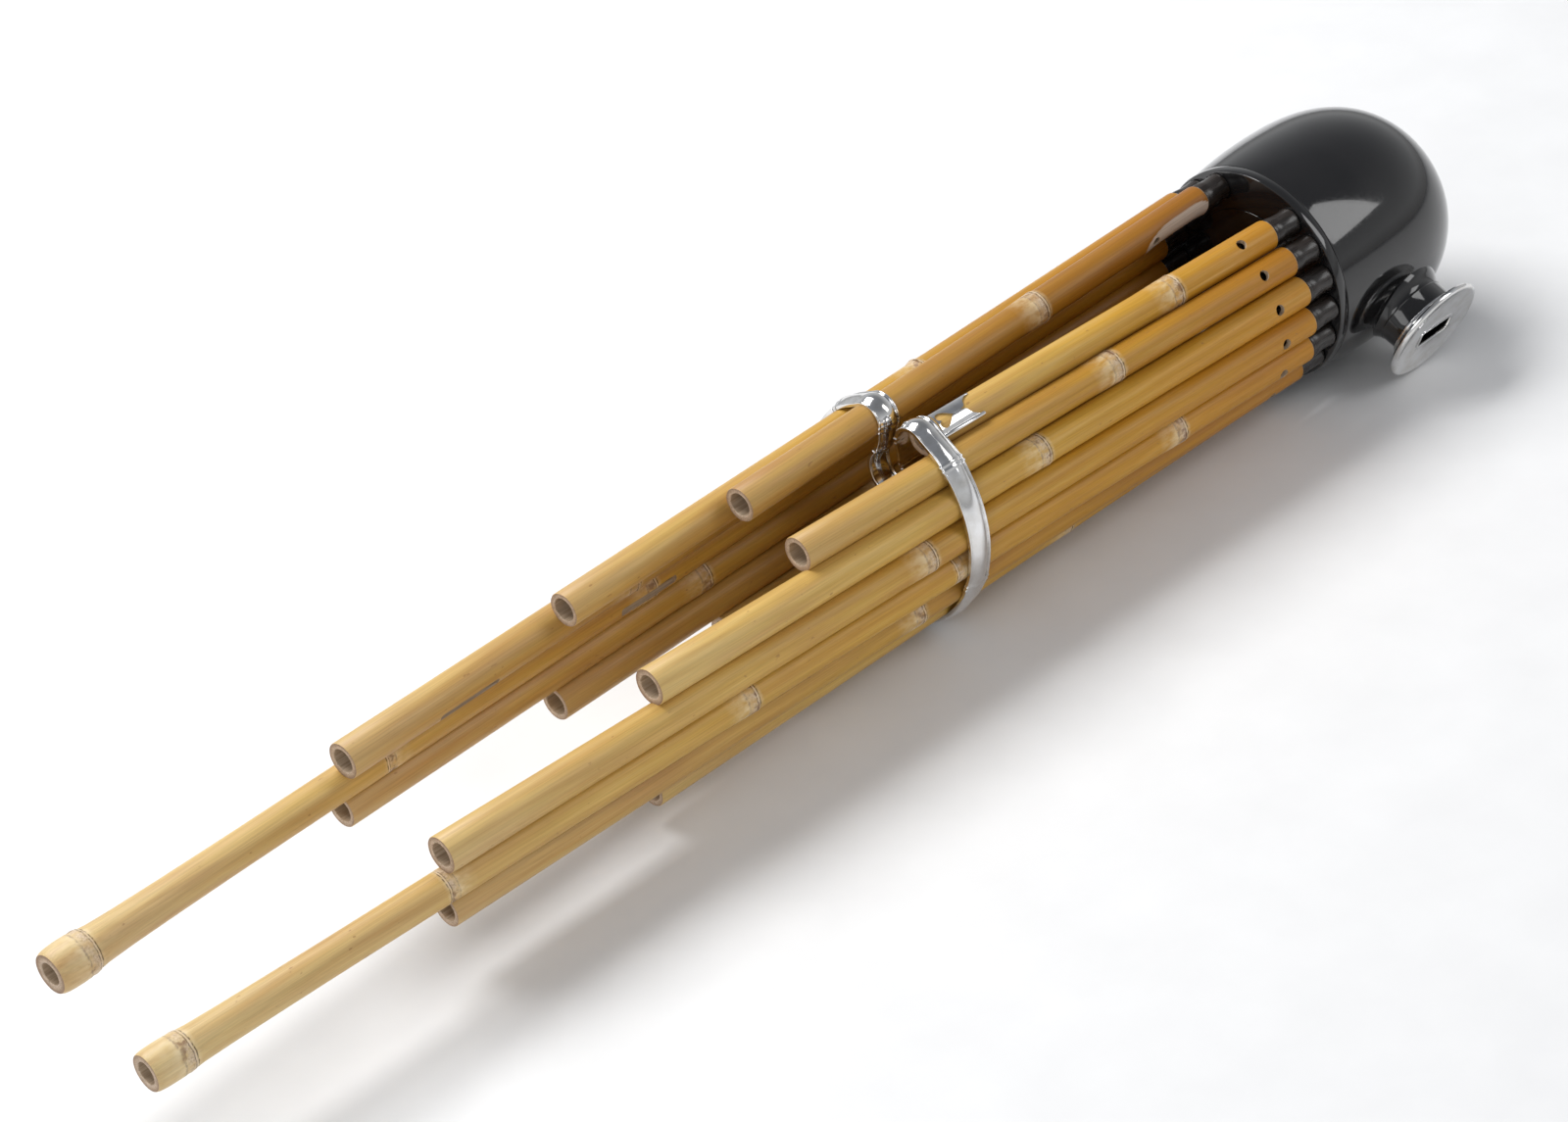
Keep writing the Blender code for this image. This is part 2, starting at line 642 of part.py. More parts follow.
def make_heart_plate(pipe_axis, silver):
    """The pierced plate that lies on the first pipe, with a round bar along the edge beside the second."""
    turn = Matrix.Rotation(math.radians(PLATE_TURN), 4, "Z")
    band_side = BAND_START - BAND_RIM - CLEARANCE
    placement = pipe_axis.matrix_world @ turn
    inner = PIPE_DIAMETER / 2.0 + CLEARANCE
    outer = inner + PLATE_SKIN
    half_width = outer * math.sin(math.radians(PLATE_HALF_ANGLE)) - 0.1 * MM
    axis = empty("heart_plate_axis", placement, pipe_axis)
    far_end = band_side - PLATE_LENGTH - 2.0 * MM
    plate = turned("heart_plate", [(outer, band_side + 2.0 * MM), (outer, far_end),
                                   (inner, far_end), (inner, band_side + 2.0 * MM)], 40, silver, axis)
    heart = heart_outline(HEART_START, HEART_LENGTH, HEART_WIDTH)
    outline = flat_curve("plate_outline", [(plate_outline(half_width), True), (heart, True)])
    outline.data.fill_mode = "BOTH"
    outline.data.extrude = 3.0 * MM
    lift = Matrix.Translation((inner, 0.0, band_side))
    lay = Matrix(((0.0, 0.0, 1.0, 0.0), (0.0, 1.0, 0.0, 0.0), (-1.0, 0.0, 0.0, 0.0), (0.0, 0.0, 0.0, 1.0)))
    outline.matrix_world = placement @ lift @ lay
    cookie = mesh_from_curve("plate_outline_cut", outline, None, axis, CUTTERS)
    boolean(plate, cookie, "INTERSECT")

    def bar(mesh_tool):
        side = math.radians(PLATE_HALF_ANGLE)
        reach = inner + BAR_RADIUS
        middle = Vector((reach * math.cos(side), -reach * math.sin(side), band_side - PLATE_LENGTH * 0.51))
        drum(mesh_tool, Matrix.Translation(middle), BAR_RADIUS, PLATE_LENGTH, 8)

    boolean(plate, mesh_object("plate_bar", bar, None, axis, CUTTERS), "UNION")
    return plate


def build():
    clear_scene()
    new_collection(PARTS)
    new_collection(CUTTERS)
    lacquer = material("black_lacquer", (0.008, 0.008, 0.009), 0.12, coat=0.6)
    stem_wood = material("dark_stem_wood", (0.02, 0.017, 0.015), 0.35)
    bamboo = material("bamboo", (0.62, 0.38, 0.13), 0.42)
    silver = material("silver", (0.82, 0.81, 0.78), 0.18, metallic=1.0)
    brass = material("reed_brass", (0.55, 0.38, 0.16), 0.35, metallic=1.0)

    toward_pipes = Vector((-1.0, 0.0, 0.0))
    chest_axis = empty("chest_axis", frame(Vector((0.0, 0.0, 0.0)), toward_pipes, outward(0.0)))
    smooth(make_chest(chest_axis, lacquer))
    smooth(make_chest_plate(chest_axis, lacquer))
    for piece in make_mouthpiece(lacquer, silver):
        smooth(piece)

    pipe_axes = {}
    for number in range(1, len(PIPES) + 1):
        name, _, note, _ = PIPES[number - 1]
        axis = empty(f"pipe_axis_{number:02d}_{name}", pipe_placement(number))
        pipe_axes[number] = axis
        smooth(make_pipe(number, axis, bamboo))
        smooth(make_stem(number, axis, stem_wood))
        if note:
            make_reed(number, axis, brass)

    gap_side = outward(GAP_ANGLE)
    first_wing = outward(GAP_ANGLE + 90.0)
    band_middle = Vector((-STEM_SHOWING - BAND_START - BAND_WIDTH / 2.0, 0.0, 0.0))
    band_placement = Matrix((first_wing, gap_side, first_wing.cross(gap_side))).transposed().to_4x4()
    band_placement.translation = band_middle
    smooth(make_band(band_placement, silver))
    smooth(make_heart_plate(pipe_axes[1], silver))


build()
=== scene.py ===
import json
import math
import random

import bpy
from mathutils import Matrix, Vector


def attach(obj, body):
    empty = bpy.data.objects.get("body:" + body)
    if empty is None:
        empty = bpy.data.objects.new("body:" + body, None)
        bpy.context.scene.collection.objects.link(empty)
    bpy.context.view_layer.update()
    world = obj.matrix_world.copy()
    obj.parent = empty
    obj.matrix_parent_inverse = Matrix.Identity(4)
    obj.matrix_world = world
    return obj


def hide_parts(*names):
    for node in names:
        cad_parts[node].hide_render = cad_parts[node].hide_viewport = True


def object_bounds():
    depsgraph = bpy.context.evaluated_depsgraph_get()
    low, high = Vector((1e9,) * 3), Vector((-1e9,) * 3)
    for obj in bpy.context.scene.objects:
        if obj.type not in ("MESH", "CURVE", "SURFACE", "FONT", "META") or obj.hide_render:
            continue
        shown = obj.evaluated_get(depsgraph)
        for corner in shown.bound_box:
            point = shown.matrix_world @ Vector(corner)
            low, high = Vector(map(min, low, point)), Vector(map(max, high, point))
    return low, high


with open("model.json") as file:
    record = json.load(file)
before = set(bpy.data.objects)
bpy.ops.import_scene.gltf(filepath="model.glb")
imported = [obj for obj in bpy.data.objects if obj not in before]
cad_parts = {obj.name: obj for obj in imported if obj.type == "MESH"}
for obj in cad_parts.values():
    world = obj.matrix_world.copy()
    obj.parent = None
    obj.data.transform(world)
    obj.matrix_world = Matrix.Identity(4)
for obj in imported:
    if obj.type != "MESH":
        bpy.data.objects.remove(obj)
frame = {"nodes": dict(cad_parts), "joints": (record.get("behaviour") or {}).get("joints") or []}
cad_low, cad_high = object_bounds()

# Looks of a sho mouth organ: bamboo pipes, black lacquered wind chest, polished silver fittings.
# Lengths are in metres, in the frame's own axes: the pipes reach towards -X and +Z is up.

MM = 0.001

# Camera, at the photograph's viewing angle
CAMERA_PLACE = (-0.8747, -0.7977, 0.7329)
CAMERA_TURN = (54.911, 6.257, -44.412)
CAMERA_LENS = 101.7

# Ring of pipes. Direction round the instrument is an angle from +Z towards -Y
GAP_ANGLE = 5.5
PIPE_RADIUS = 4.95 * MM
BORE_RADIUS = 3.4 * MM
END_ROUNDING = 0.25 * MM
PIPE_SIDES = 48
STEM_SHOWING = 10.5 * MM
DRILL_DEPTH = 6.0 * MM
FINGER_HOLE_RADIUS = 1.7 * MM
FINGER_HOLE_HEIGHT = 14.0 * MM
THUMB_HOLE_HEIGHT = 25.0 * MM
THUMB_HOLE_TURN = 36.0

# The place scraped round the thumb hole: it is whole between the two middle heights
HOLLOW_TURN = 46.0
HOLLOW_HALF_ANGLE = 64.0
HOLLOW_DEPTH = 0.95 * MM
HOLLOW_HEIGHTS = (-2.0 * MM, 6.0 * MM, 16.0 * MM, 31.0 * MM)

# Tuning slot, and how far a joint reaches along its pipe
SLOT_SIZE = (2.6 * MM, 22.0 * MM)
JOINT_REACH = (-5.0 * MM, 15.0 * MM)

# Each pipe: its growth towards the open tip, the heights of its joints, the middle of its tuning
# slot, its finger hole and its tone, from 0, paler, to 1, more smoked
PIPES = {
    "01_sen": (0.15 * MM, [41.6 * MM], 88.0 * MM, "outward", 0.42),
    "02_ju": (0.50 * MM, [76.4 * MM], 175.0 * MM, "outward", 0.60),
    "03_ge": (0.75 * MM, [113.2 * MM], 184.0 * MM, "outward", 0.35),
    "04_otsu": (0.65 * MM, [163.0 * MM], 204.0 * MM, "outward", 0.50),
    "05_ku": (0.05 * MM, [57.6 * MM, 233.6 * MM], 243.0 * MM, "outward", 0.45),
    "06_bi": (0.40 * MM, [165.6 * MM], 158.0 * MM, "outward", 0.62),
    "07_ichi": (0.40 * MM, [97.0 * MM], 244.0 * MM, "outward", 0.40),
    "08_hachi": (0.30 * MM, [70.0 * MM], 101.0 * MM, "outward", 0.55),
    "09_ya": (0.20 * MM, [52.0 * MM], 0.0, "none", 0.70),
    "10_gon": (0.20 * MM, [63.0 * MM], 122.0 * MM, "outward", 0.38),
    "11_shichi": (0.35 * MM, [88.0 * MM], 138.0 * MM, "outward", 0.52),
    "12_gyo": (0.40 * MM, [131.0 * MM], 155.0 * MM, "outward", 0.66),
    "13_jo": (0.45 * MM, [205.0 * MM], 114.4 * MM, "outward", 0.58),
    "14_bo": (0.15 * MM, [226.4 * MM], 230.0 * MM, "outward", 0.48),
    "15_kotsu": (0.60 * MM, [236.0 * MM], 301.8 * MM, "outward", 0.65),
    "16_mo": (0.35 * MM, [118.5 * MM], 0.0, "none", 0.55),
    "17_hi": (0.45 * MM, [75.6 * MM], 129.3 * MM, "gap", 0.78),
}

# Joints that stand out more: how many times the plain size the lip is, and the long side after it
BIG_JOINTS = {"16_mo": (2.2, 0.0), "17_hi": (1.5, 1.5), "01_sen": (1.2, 1.2)}
TIP_BULBS = {"05_ku": 1.0 * MM, "14_bo": 1.6 * MM}

# Wind chest
RIM_RADIUS = 35.8 * MM
BELLY_RADIUS = 37.4 * MM
BELLY_DEPTH = 26.0 * MM
CHEST_DEPTH = 72.0 * MM
CHEST_WALL = 2.3 * MM
RIM_WALL = 1.3 * MM
BOWL_ROUNDNESS = 2.6
PLATE_THICKNESS = 3.5 * MM
STEM_HOLE_RADIUS = 3.7 * MM

# Mouthpiece
MOUTH_ANGLE = 114.5
MOUTH_DEPTH = 32.5 * MM
NECK_RADII = (13.0 * MM, 10.5 * MM)
NECK_WALL = 2.5 * MM
NECK_START = 34.6 * MM
FLANGE_FACE = 50.0 * MM
FLANGE_RADIUS = 18.3 * MM
FLANGE_THICKNESS = 2.0 * MM
SLEEVE_LENGTH = 2.6 * MM
BLOW_SLOT = (14.0 * MM, 6.0 * MM)

# Band
BAND_START = 143.3 * MM
BAND_WIDTH = 8.2 * MM
BAND_THICKNESS = 0.8 * MM
BAND_RIM = 0.35 * MM
BAND_CROWN = 1.1 * MM
BAND_JOINTS = [(side * across * MM, towards * MM) for side in (-1.0, 1.0) for across, towards in
               ((3.5, 28.9), (5.0, 20.7), (21.0, 26.8), (32.0, -11.6), (0.0, -34.0))]
BAND_STEP = 0.3 * MM
GRIP_RADIUS = 5.1 * MM
GAP_WRAP = 98.0
BAND_NECK = (4.1 * MM, 24.4 * MM)
LOOP_RADIUS = 8.3 * MM
LOOP_HEIGHT = 14.2 * MM
LOOP_OPENING = 37.0

# Pierced plate on the first pipe
HEART_PLATE_RADII = (5.1 * MM, 5.7 * MM)
HEART_PLATE_HALF_ANGLE = 45.0
HEART_PLATE_TURN = 2.0
HEART_PLACE = 1.9 * MM
HEART_SIZE = (6.2 * MM, 5.2 * MM)
BAR_RADIUS = 0.70 * MM
WIRE_RADIUS = 0.28 * MM


def deselect_all():
    if bpy.context.object and bpy.context.object.mode != "OBJECT":
        bpy.ops.object.mode_set(mode="OBJECT")
    bpy.ops.object.select_all(action="DESELECT")


def make_active(piece):
    deselect_all()
    piece.select_set(True)
    bpy.context.view_layer.objects.active = piece


def place_and_settle(piece, placement):
    """Puts a piece where it goes and leaves its object at the origin, with its place in its mesh."""
    make_active(piece)
    piece.matrix_world = placement @ piece.matrix_world
    bpy.ops.object.transform_apply(location=True, rotation=True, scale=True)


def outward(angle):
    turn = math.radians(angle)
    return Vector((0.0, -math.sin(turn), math.cos(turn)))


def placement_of(origin, z_axis, x_hint):
    z_axis = z_axis.normalized()
    x_axis = (x_hint - z_axis * x_hint.dot(z_axis)).normalized()
    turned = Matrix((x_axis, z_axis.cross(x_axis), z_axis)).transposed().to_4x4()
    turned.translation = origin
    return turned


def draw_rings(name, rings, sides, ends):
    """A piece drawn out ring by ring along Z from a circle. A ring is its two radii and its height.
    The last ring is either joined to the first, or both are capped."""
    deselect_all()
    across, deep, height = rings[0]
    fill = "TRIFAN" if ends == "capped" else "NOTHING"
    bpy.ops.mesh.primitive_circle_add(vertices=sides, radius=across, location=(0.0, 0.0, height),
                                      fill_type=fill)
    piece = bpy.context.object
    piece.name = name
    bpy.ops.object.mode_set(mode="EDIT")
    bpy.ops.mesh.select_all(action="SELECT")
    bpy.ops.transform.resize(value=(1.0, deep / across, 1.0), center_override=(0.0, 0.0, height))
    last = rings[0]
    for ring in rings[1:]:
        bpy.ops.mesh.extrude_region_move(TRANSFORM_OT_translate={"value": (0.0, 0.0, ring[2] - last[2])})
        bpy.ops.transform.resize(value=(ring[0] / last[0], ring[1] / last[1], 1.0),
                                 center_override=(0.0, 0.0, ring[2]))
        last = ring
    bpy.ops.mesh.select_all(action="SELECT")
    bpy.ops.mesh.remove_doubles(threshold=0.002 * MM)
    bpy.ops.mesh.normals_make_consistent(inside=False)
    bpy.ops.object.mode_set(mode="OBJECT")
    bpy.ops.object.transform_apply(location=True, rotation=True, scale=True)
    return piece


def cut(piece, cutter, operation="DIFFERENCE"):
    """Cuts a piece with a cutter, which is then removed."""
    make_active(piece)
    shape = piece.modifiers.new("Cut", "BOOLEAN")
    shape.operation = operation
    shape.solver = "EXACT"
    shape.object = cutter
    bpy.ops.object.modifier_apply(modifier=shape.name)
    bpy.data.objects.remove(cutter)


def rod(radius, length, placement, sides=32):
    """A plain round cutter along its placement's Z."""
    deselect_all()
    bpy.ops.mesh.primitive_cylinder_add(vertices=sides, radius=radius, depth=length)
    cutter = bpy.context.object
    cutter.matrix_world = placement
    return cutter


def smooth(piece, angle=35.0):
    make_active(piece)
    bpy.ops.object.shade_smooth_by_angle(angle=math.radians(angle))


def dress(piece, body, slot, *nodes):
    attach(piece, body)
    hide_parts(*nodes)


def add_node(mat, kind, inputs=None, **settings):
    """Adds a shader node. Its inputs are values, or other nodes' outputs, which get linked."""
    made = mat.node_tree.nodes.new("ShaderNode" + kind)
    for key, value in settings.items():
        setattr(made, key, value)
    for key, value in (inputs or {}).items():
        if isinstance(value, bpy.types.NodeSocket):
            mat.node_tree.links.new(value, made.inputs[key])
        else:
            made.inputs[key].default_value = value
    return made


def colour_ramp(mat, source, stops):
    ramp = add_node(mat, "ValToRGB", {"Fac": source})
    marks = ramp.color_ramp.elements
    marks[0].position, marks[0].color = stops[0][0], (*stops[0][1], 1.0)
    marks[1].position, marks[1].color = stops[1][0], (*stops[1][1], 1.0)
    for place, colour in stops[2:]:
        mark = marks.new(place)
        mark.color = (*colour, 1.0)
    return ramp.outputs["Color"]


def grey_ramp(mat, source, stops):
    return colour_ramp(mat, source, [(place, (level, level, level)) for place, level in stops])


def blend_colours(mat, share, first, second, how="MIX"):
    """Mixes two colours; each may be a colour or another node's output."""
    mixed = add_node(mat, "Mix", data_type="RGBA", blend_type=how)
    for slot, value in ((0, share), (6, first), (7, second)):
        if isinstance(value, bpy.types.NodeSocket):
            mat.node_tree.links.new(value, mixed.inputs[slot])
        else:
            mixed.inputs[slot].default_value = value if slot == 0 else (*value, 1.0)
    return mixed.outputs[2]


def sums(mat, how, first, second):
    return add_node(mat, "Math", {0: first, 1: second}, operation=how).outputs[0]


def new_finish(name, roughness, metallic=0.0):
    mat = bpy.data.materials.new(name)
    mat.use_nodes = True
    shader = mat.node_tree.nodes["Principled BSDF"]
    shader.inputs["Roughness"].default_value = roughness
    shader.inputs["Metallic"].default_value = metallic
    return mat, shader


def noise_on(mat, place, stretch, scale, detail=3.0, roughness=0.5, distortion=0.0):
    """Noise on a place that is first stretched along each axis."""
    moved = add_node(mat, "Mapping", {"Vector": place, "Scale": stretch})
    return add_node(mat, "TexNoise", {"Vector": moved.outputs[0], "Scale": scale, "Detail": detail,
                                      "Roughness": roughness, "Distortion": distortion}).outputs["Fac"]


def feed(mat, shader, colour, roughness=None):
    """Links a finish's colour, and its roughness where that varies."""
    mat.node_tree.links.new(colour, shader.inputs["Base Color"])
    if roughness is not None:
        mat.node_tree.links.new(roughness, shader.inputs["Roughness"])


def set_bump(mat, shader, height, strength, distance):
    bump = add_node(mat, "Bump", {"Height": height, "Strength": strength, "Distance": distance})
    mat.node_tree.links.new(bump.outputs["Normal"], shader.inputs["Normal"])


def bamboo_skin():
    """Smoked bamboo: golden brown, streaked along the pipe, with pale joints and fine dark lines."""
    mat, shader = new_finish("smoked_bamboo", 0.42)
    place = add_node(mat, "Attribute", attribute_name="own_place").outputs["Vector"]
    tone = add_node(mat, "Attribute", attribute_name="tone").outputs["Fac"]
    along = add_node(mat, "Attribute", attribute_name="up_pipe").outputs["Fac"]
    joint = add_node(mat, "Attribute", attribute_name="from_joint").outputs["Fac"]

    broad = noise_on(mat, place, (1.0, 1.0, 0.05), 420.0, 3.0)
    clouds = noise_on(mat, place, (1.0, 1.0, 0.25), 90.0, 2.0)
    fibres = noise_on(mat, place, (1.0, 1.0, 0.016), 2600.0, 4.0, 0.65)
    depth = sums(mat, "ADD", sums(mat, "MULTIPLY", broad, 0.55), sums(mat, "MULTIPLY", clouds, 0.45))
    height = sums(mat, "ADD", along, sums(mat, "MULTIPLY", sums(mat, "SUBTRACT", clouds, 0.5), 0.30))
    body = colour_ramp(mat, height, [(0.0, (0.570, 0.268, 0.015)), (1.0, (0.690, 0.520, 0.255)),
                                     (0.25, (0.625, 0.345, 0.034)), (0.50, (0.650, 0.405, 0.080)),
                                     (0.75, (0.670, 0.450, 0.140))])
    depth = sums(mat, "ADD", depth, sums(mat, "MULTIPLY", sums(mat, "SUBTRACT", tone, 0.5), 0.30))
    deeper = grey_ramp(mat, depth, [(0.40, 0.0), (0.75, 0.55)])
    body = blend_colours(mat, deeper, body, (0.400, 0.145, 0.022))
    paler = grey_ramp(mat, depth, [(0.25, 0.35), (0.42, 0.0)])
    body = blend_colours(mat, paler, body, (0.760, 0.560, 0.250))
    streak = grey_ramp(mat, fibres, [(0.30, 0.84), (0.70, 1.08)])
    body = blend_colours(mat, 1.0, body, streak, "MULTIPLY")
    smoke = colour_ramp(mat, tone, [(0.0, (1.000, 1.000, 1.000)), (1.0, (0.420, 0.290, 0.210)),
                                    (0.50, (0.860, 0.800, 0.740))])
    body = blend_colours(mat, grey_ramp(mat, along, [(0.25, 1.0), (0.95, 0.25)]), body, smoke, "MULTIPLY")

    wander = noise_on(mat, place, (1.0, 1.0, 0.3), 600.0, 2.0)
    jitter = noise_on(mat, place, (1.0, 1.0, 1.0), 1500.0, 3.0, 0.7)
    reach = sums(mat, "ADD", joint, sums(mat, "MULTIPLY", sums(mat, "SUBTRACT", wander, 0.5), 0.030))
    edge = sums(mat, "ADD", reach, sums(mat, "MULTIPLY", sums(mat, "SUBTRACT", jitter, 0.5), 0.060))
    patches = noise_on(mat, place, (1.0, 1.0, 0.6), 520.0, 3.0)
    patches = grey_ramp(mat, patches, [(0.34, 0.20), (0.60, 1.0)])
    bloom = grey_ramp(mat, edge, [(0.170, 0.0), (0.232, 0.45), (0.255, 0.30), (0.400, 0.45),
                                  (0.460, 0.75), (0.560, 0.45), (0.850, 0.0)])
    bloom = blend_colours(mat, 1.0, bloom, patches, "MULTIPLY")
    body = blend_colours(mat, bloom, body, (0.790, 0.640, 0.390))
    ridge = grey_ramp(mat, edge, [(0.245, 0.0), (0.260, 0.90), (0.360, 0.80), (0.450, 0.0)])
    mottle = colour_ramp(mat, jitter, [(0.32, (0.340, 0.215, 0.125)), (0.68, (0.720, 0.580, 0.430)),
                                       (0.48, (0.560, 0.420, 0.290))])
    body = blend_colours(mat, blend_colours(mat, 1.0, ridge, patches, "MULTIPLY"), body, mottle)
    lip = grey_ramp(mat, reach, [(0.252, 0.0), (0.262, 0.65), (0.276, 0.65), (0.286, 0.0)])
    body = blend_colours(mat, lip, body, (0.760, 0.610, 0.400))
    lines = grey_ramp(mat, reach, [(0.226, 0.0), (0.238, 0.80), (0.248, 0.85), (0.256, 0.0),
                                   (0.278, 0.0), (0.286, 0.75), (0.296, 0.65), (0.304, 0.0)])
    broken = noise_on(mat, place, (1.0, 1.0, 1.0), 900.0, 2.0)
    broken = grey_ramp(mat, broken, [(0.38, 0.20), (0.56, 1.0)])
    lines = blend_colours(mat, 1.0, lines, broken, "MULTIPLY")
    body = blend_colours(mat, lines, body, (0.070, 0.034, 0.018))
    faint = grey_ramp(mat, edge, [(0.425, 0.0), (0.440, 0.60), (0.452, 0.55), (0.470, 0.0)])
    faint = blend_colours(mat, 1.0, faint, broken, "MULTIPLY")
    body = blend_colours(mat, faint, body, (0.230, 0.150, 0.120))
    burn = noise_on(mat, place, (1.0, 1.0, 0.8), 330.0, 4.0)
    burn = grey_ramp(mat, burn, [(0.55, 0.0), (0.64, 0.75)])
    by_joint = grey_ramp(mat, edge, [(0.24, 0.0), (0.28, 1.0), (0.40, 0.9), (0.50, 0.0)])
    burn = blend_colours(mat, 1.0, burn, by_joint, "MULTIPLY")
    body = blend_colours(mat, burn, body, (0.210, 0.105, 0.050))
    specks = noise_on(mat, place, (1.0, 1.0, 0.5), 700.0, 1.0)
    specks = grey_ramp(mat, specks, [(0.74, 0.0), (0.80, 0.5)])
    body = blend_colours(mat, specks, body, (0.260, 0.110, 0.040))
    bare = add_node(mat, "Attribute", attribute_name="bare").outputs["Fac"]
    bare = sums(mat, "ADD", bare, sums(mat, "MULTIPLY", sums(mat, "SUBTRACT", fibres, 0.5), 0.9))
    bare = grey_ramp(mat, bare, [(0.35, 0.0), (0.85, 1.0)])
    scraped = colour_ramp(mat, fibres, [(0.30, (0.480, 0.390, 0.320)), (0.70, (0.680, 0.570, 0.480))])
    body = blend_colours(mat, bare, body, scraped)
    feed(mat, shader, body, grey_ramp(mat, fibres, [(0.25, 0.50), (0.75, 0.36)]))
    shader.inputs["Specular IOR Level"].default_value = 0.40
    set_bump(mat, shader, fibres, 0.22, 0.05 * MM)
    return mat


def bamboo_end():
    """The cut end of bamboo: pale wood with the brown dots of its fibres, darker towards the skin."""
    mat, shader = new_finish("bamboo_cut_end", 0.75)
    place = add_node(mat, "Attribute", attribute_name="own_place").outputs["Vector"]
    flat = add_node(mat, "Mapping", {"Vector": place, "Scale": (1.0, 1.0, 0.0)}).outputs[0]
    dots = add_node(mat, "TexVoronoi", {"Vector": flat, "Scale": 2300.0}).outputs["Distance"]
    reach = add_node(mat, "VectorMath", {0: flat}, operation="LENGTH").outputs["Value"]
    reach = sums(mat, "MULTIPLY", reach, 1.0 / (6.0 * MM))
    wood = colour_ramp(mat, reach, [(0.55, (0.640, 0.510, 0.380)), (0.88, (0.340, 0.220, 0.140)),
                                    (0.74, (0.540, 0.400, 0.280))])
    wood = blend_colours(mat, grey_ramp(mat, dots, [(0.15, 0.75), (0.42, 0.0)]), wood,
                         (0.150, 0.080, 0.040))
    grime = noise_on(mat, place, (1.0, 1.0, 1.0), 500.0, 3.0)
    wood = blend_colours(mat, grey_ramp(mat, grime, [(0.35, 0.0), (0.75, 0.45)]), wood,
                         (0.240, 0.150, 0.090))
    feed(mat, shader, wood)
    set_bump(mat, shader, dots, 0.4, 0.1 * MM)
    return mat


def bamboo_inside():
    """The bore and the walls of the holes and slots: bare fibre, greyer than the skin."""
    mat, shader = new_finish("bamboo_bare_fibre", 0.8)
    place = add_node(mat, "Attribute", attribute_name="own_place").outputs["Vector"]
    fibres = noise_on(mat, place, (1.0, 1.0, 0.04), 1800.0, 4.0, 0.6)
    colour = colour_ramp(mat, fibres, [(0.30, (0.330, 0.225, 0.140)), (0.70, (0.600, 0.470, 0.330))])
    feed(mat, shader, colour)
    set_bump(mat, shader, fibres, 0.5, 0.1 * MM)
    return mat


def black_lacquer():
    """Polished black lacquer, with the faintest unevenness in its shine."""
    mat, shader = new_finish("black_lacquer_finish", 0.10)
    place = add_node(mat, "TexCoord").outputs["Object"]
    waves = noise_on(mat, place, (1.0, 1.0, 1.0), 60.0, 2.0)
    dust = noise_on(mat, place, (1.0, 1.0, 1.0), 900.0, 4.0)
    colour = colour_ramp(mat, waves, [(0.3, (0.0060, 0.0058, 0.0062)), (0.7, (0.0100, 0.0094, 0.0096))])
    feed(mat, shader, colour, grey_ramp(mat, dust, [(0.4, 0.07), (0.8, 0.16)]))
    shader.inputs["Coat Weight"].default_value = 0.5
    shader.inputs["Coat Roughness"].default_value = 0.05
    set_bump(mat, shader, waves, 0.06, 0.3 * MM)
    return mat


def stem_finish():
    """The root stems: dark wood under thin lacquer, its grain just showing."""
    mat, shader = new_finish("dark_stem_finish", 0.25)
    place = add_node(mat, "TexCoord").outputs["Object"]
    grain = noise_on(mat, place, (0.08, 1.0, 1.0), 900.0, 4.0)
    colour = colour_ramp(mat, grain, [(0.3, (0.010, 0.008, 0.007)), (0.7, (0.026, 0.019, 0.015))])
    feed(mat, shader, colour, grey_ramp(mat, grain, [(0.3, 0.20), (0.7, 0.34)]))
    set_bump(mat, shader, grain, 0.15, 0.1 * MM)
    return mat


def polished_silver():
    """Polished silver, with fine wiping marks and a little warm tarnish."""
    mat, shader = new_finish("polished_silver", 0.12, 1.0)
    place = add_node(mat, "TexCoord").outputs["Object"]
    tarnish = noise_on(mat, place, (1.0, 1.0, 1.0), 220.0, 4.0)
    wiping = noise_on(mat, place, (0.2, 1.0, 0.6), 3000.0, 3.0)
    colour = colour_ramp(mat, tarnish, [(0.35, (0.800, 0.800, 0.805)), (0.80, (0.600, 0.580, 0.545))])
    feed(mat, shader, colour, grey_ramp(mat, tarnish, [(0.3, 0.08), (0.8, 0.20)]))
    set_bump(mat, shader, wiping, 0.03, 0.02 * MM)
    return mat


def reed_brass():
    """Hammered reed metal: warm brass with file marks."""
    mat, shader = new_finish("reed_metal", 0.30, 1.0)
    place = add_node(mat, "TexCoord").outputs["Object"]
    marks = noise_on(mat, place, (0.3, 1.0, 1.0), 2500.0, 3.0)
    colour = colour_ramp(mat, marks, [(0.3, (0.480, 0.320, 0.130)), (0.7, (0.620, 0.450, 0.210))])
    feed(mat, shader, colour, grey_ramp(mat, marks, [(0.3, 0.25), (0.7, 0.42)]))
    return mat


FINISHES = {
    "skin": bamboo_skin(),
    "end": bamboo_end(),
    "fibre": bamboo_inside(),
    "lacquer": black_lacquer(),
    "stem": stem_finish(),
    "silver": polished_silver(),
    "brass": reed_brass(),
}


def pipe_line(label):
    """The middle of a pipe's foot and of its tip, read from its CAD node along its slide."""
    slide = next(joint for joint in frame["joints"] if joint["name"] == "pull_out_" + label)
    along = Vector(slide["axis"]).normalized()
    corners = {tuple(round(value, 6) for value in corner.co)
               for corner in frame["nodes"]["pipe_" + label].data.vertices}
    heights = {corner: Vector(corner).dot(along) for corner in corners}
    low = min(heights.values())
    high = max(heights.values())
    foot_ring = [Vector(corner) for corner in corners if heights[corner] < low + 0.1 * MM]
    foot = sum(foot_ring, Vector((0.0, 0.0, 0.0))) / len(foot_ring)
    return foot, foot + along * (high - low)


LINES = {label: pipe_line(label) for label in PIPES}


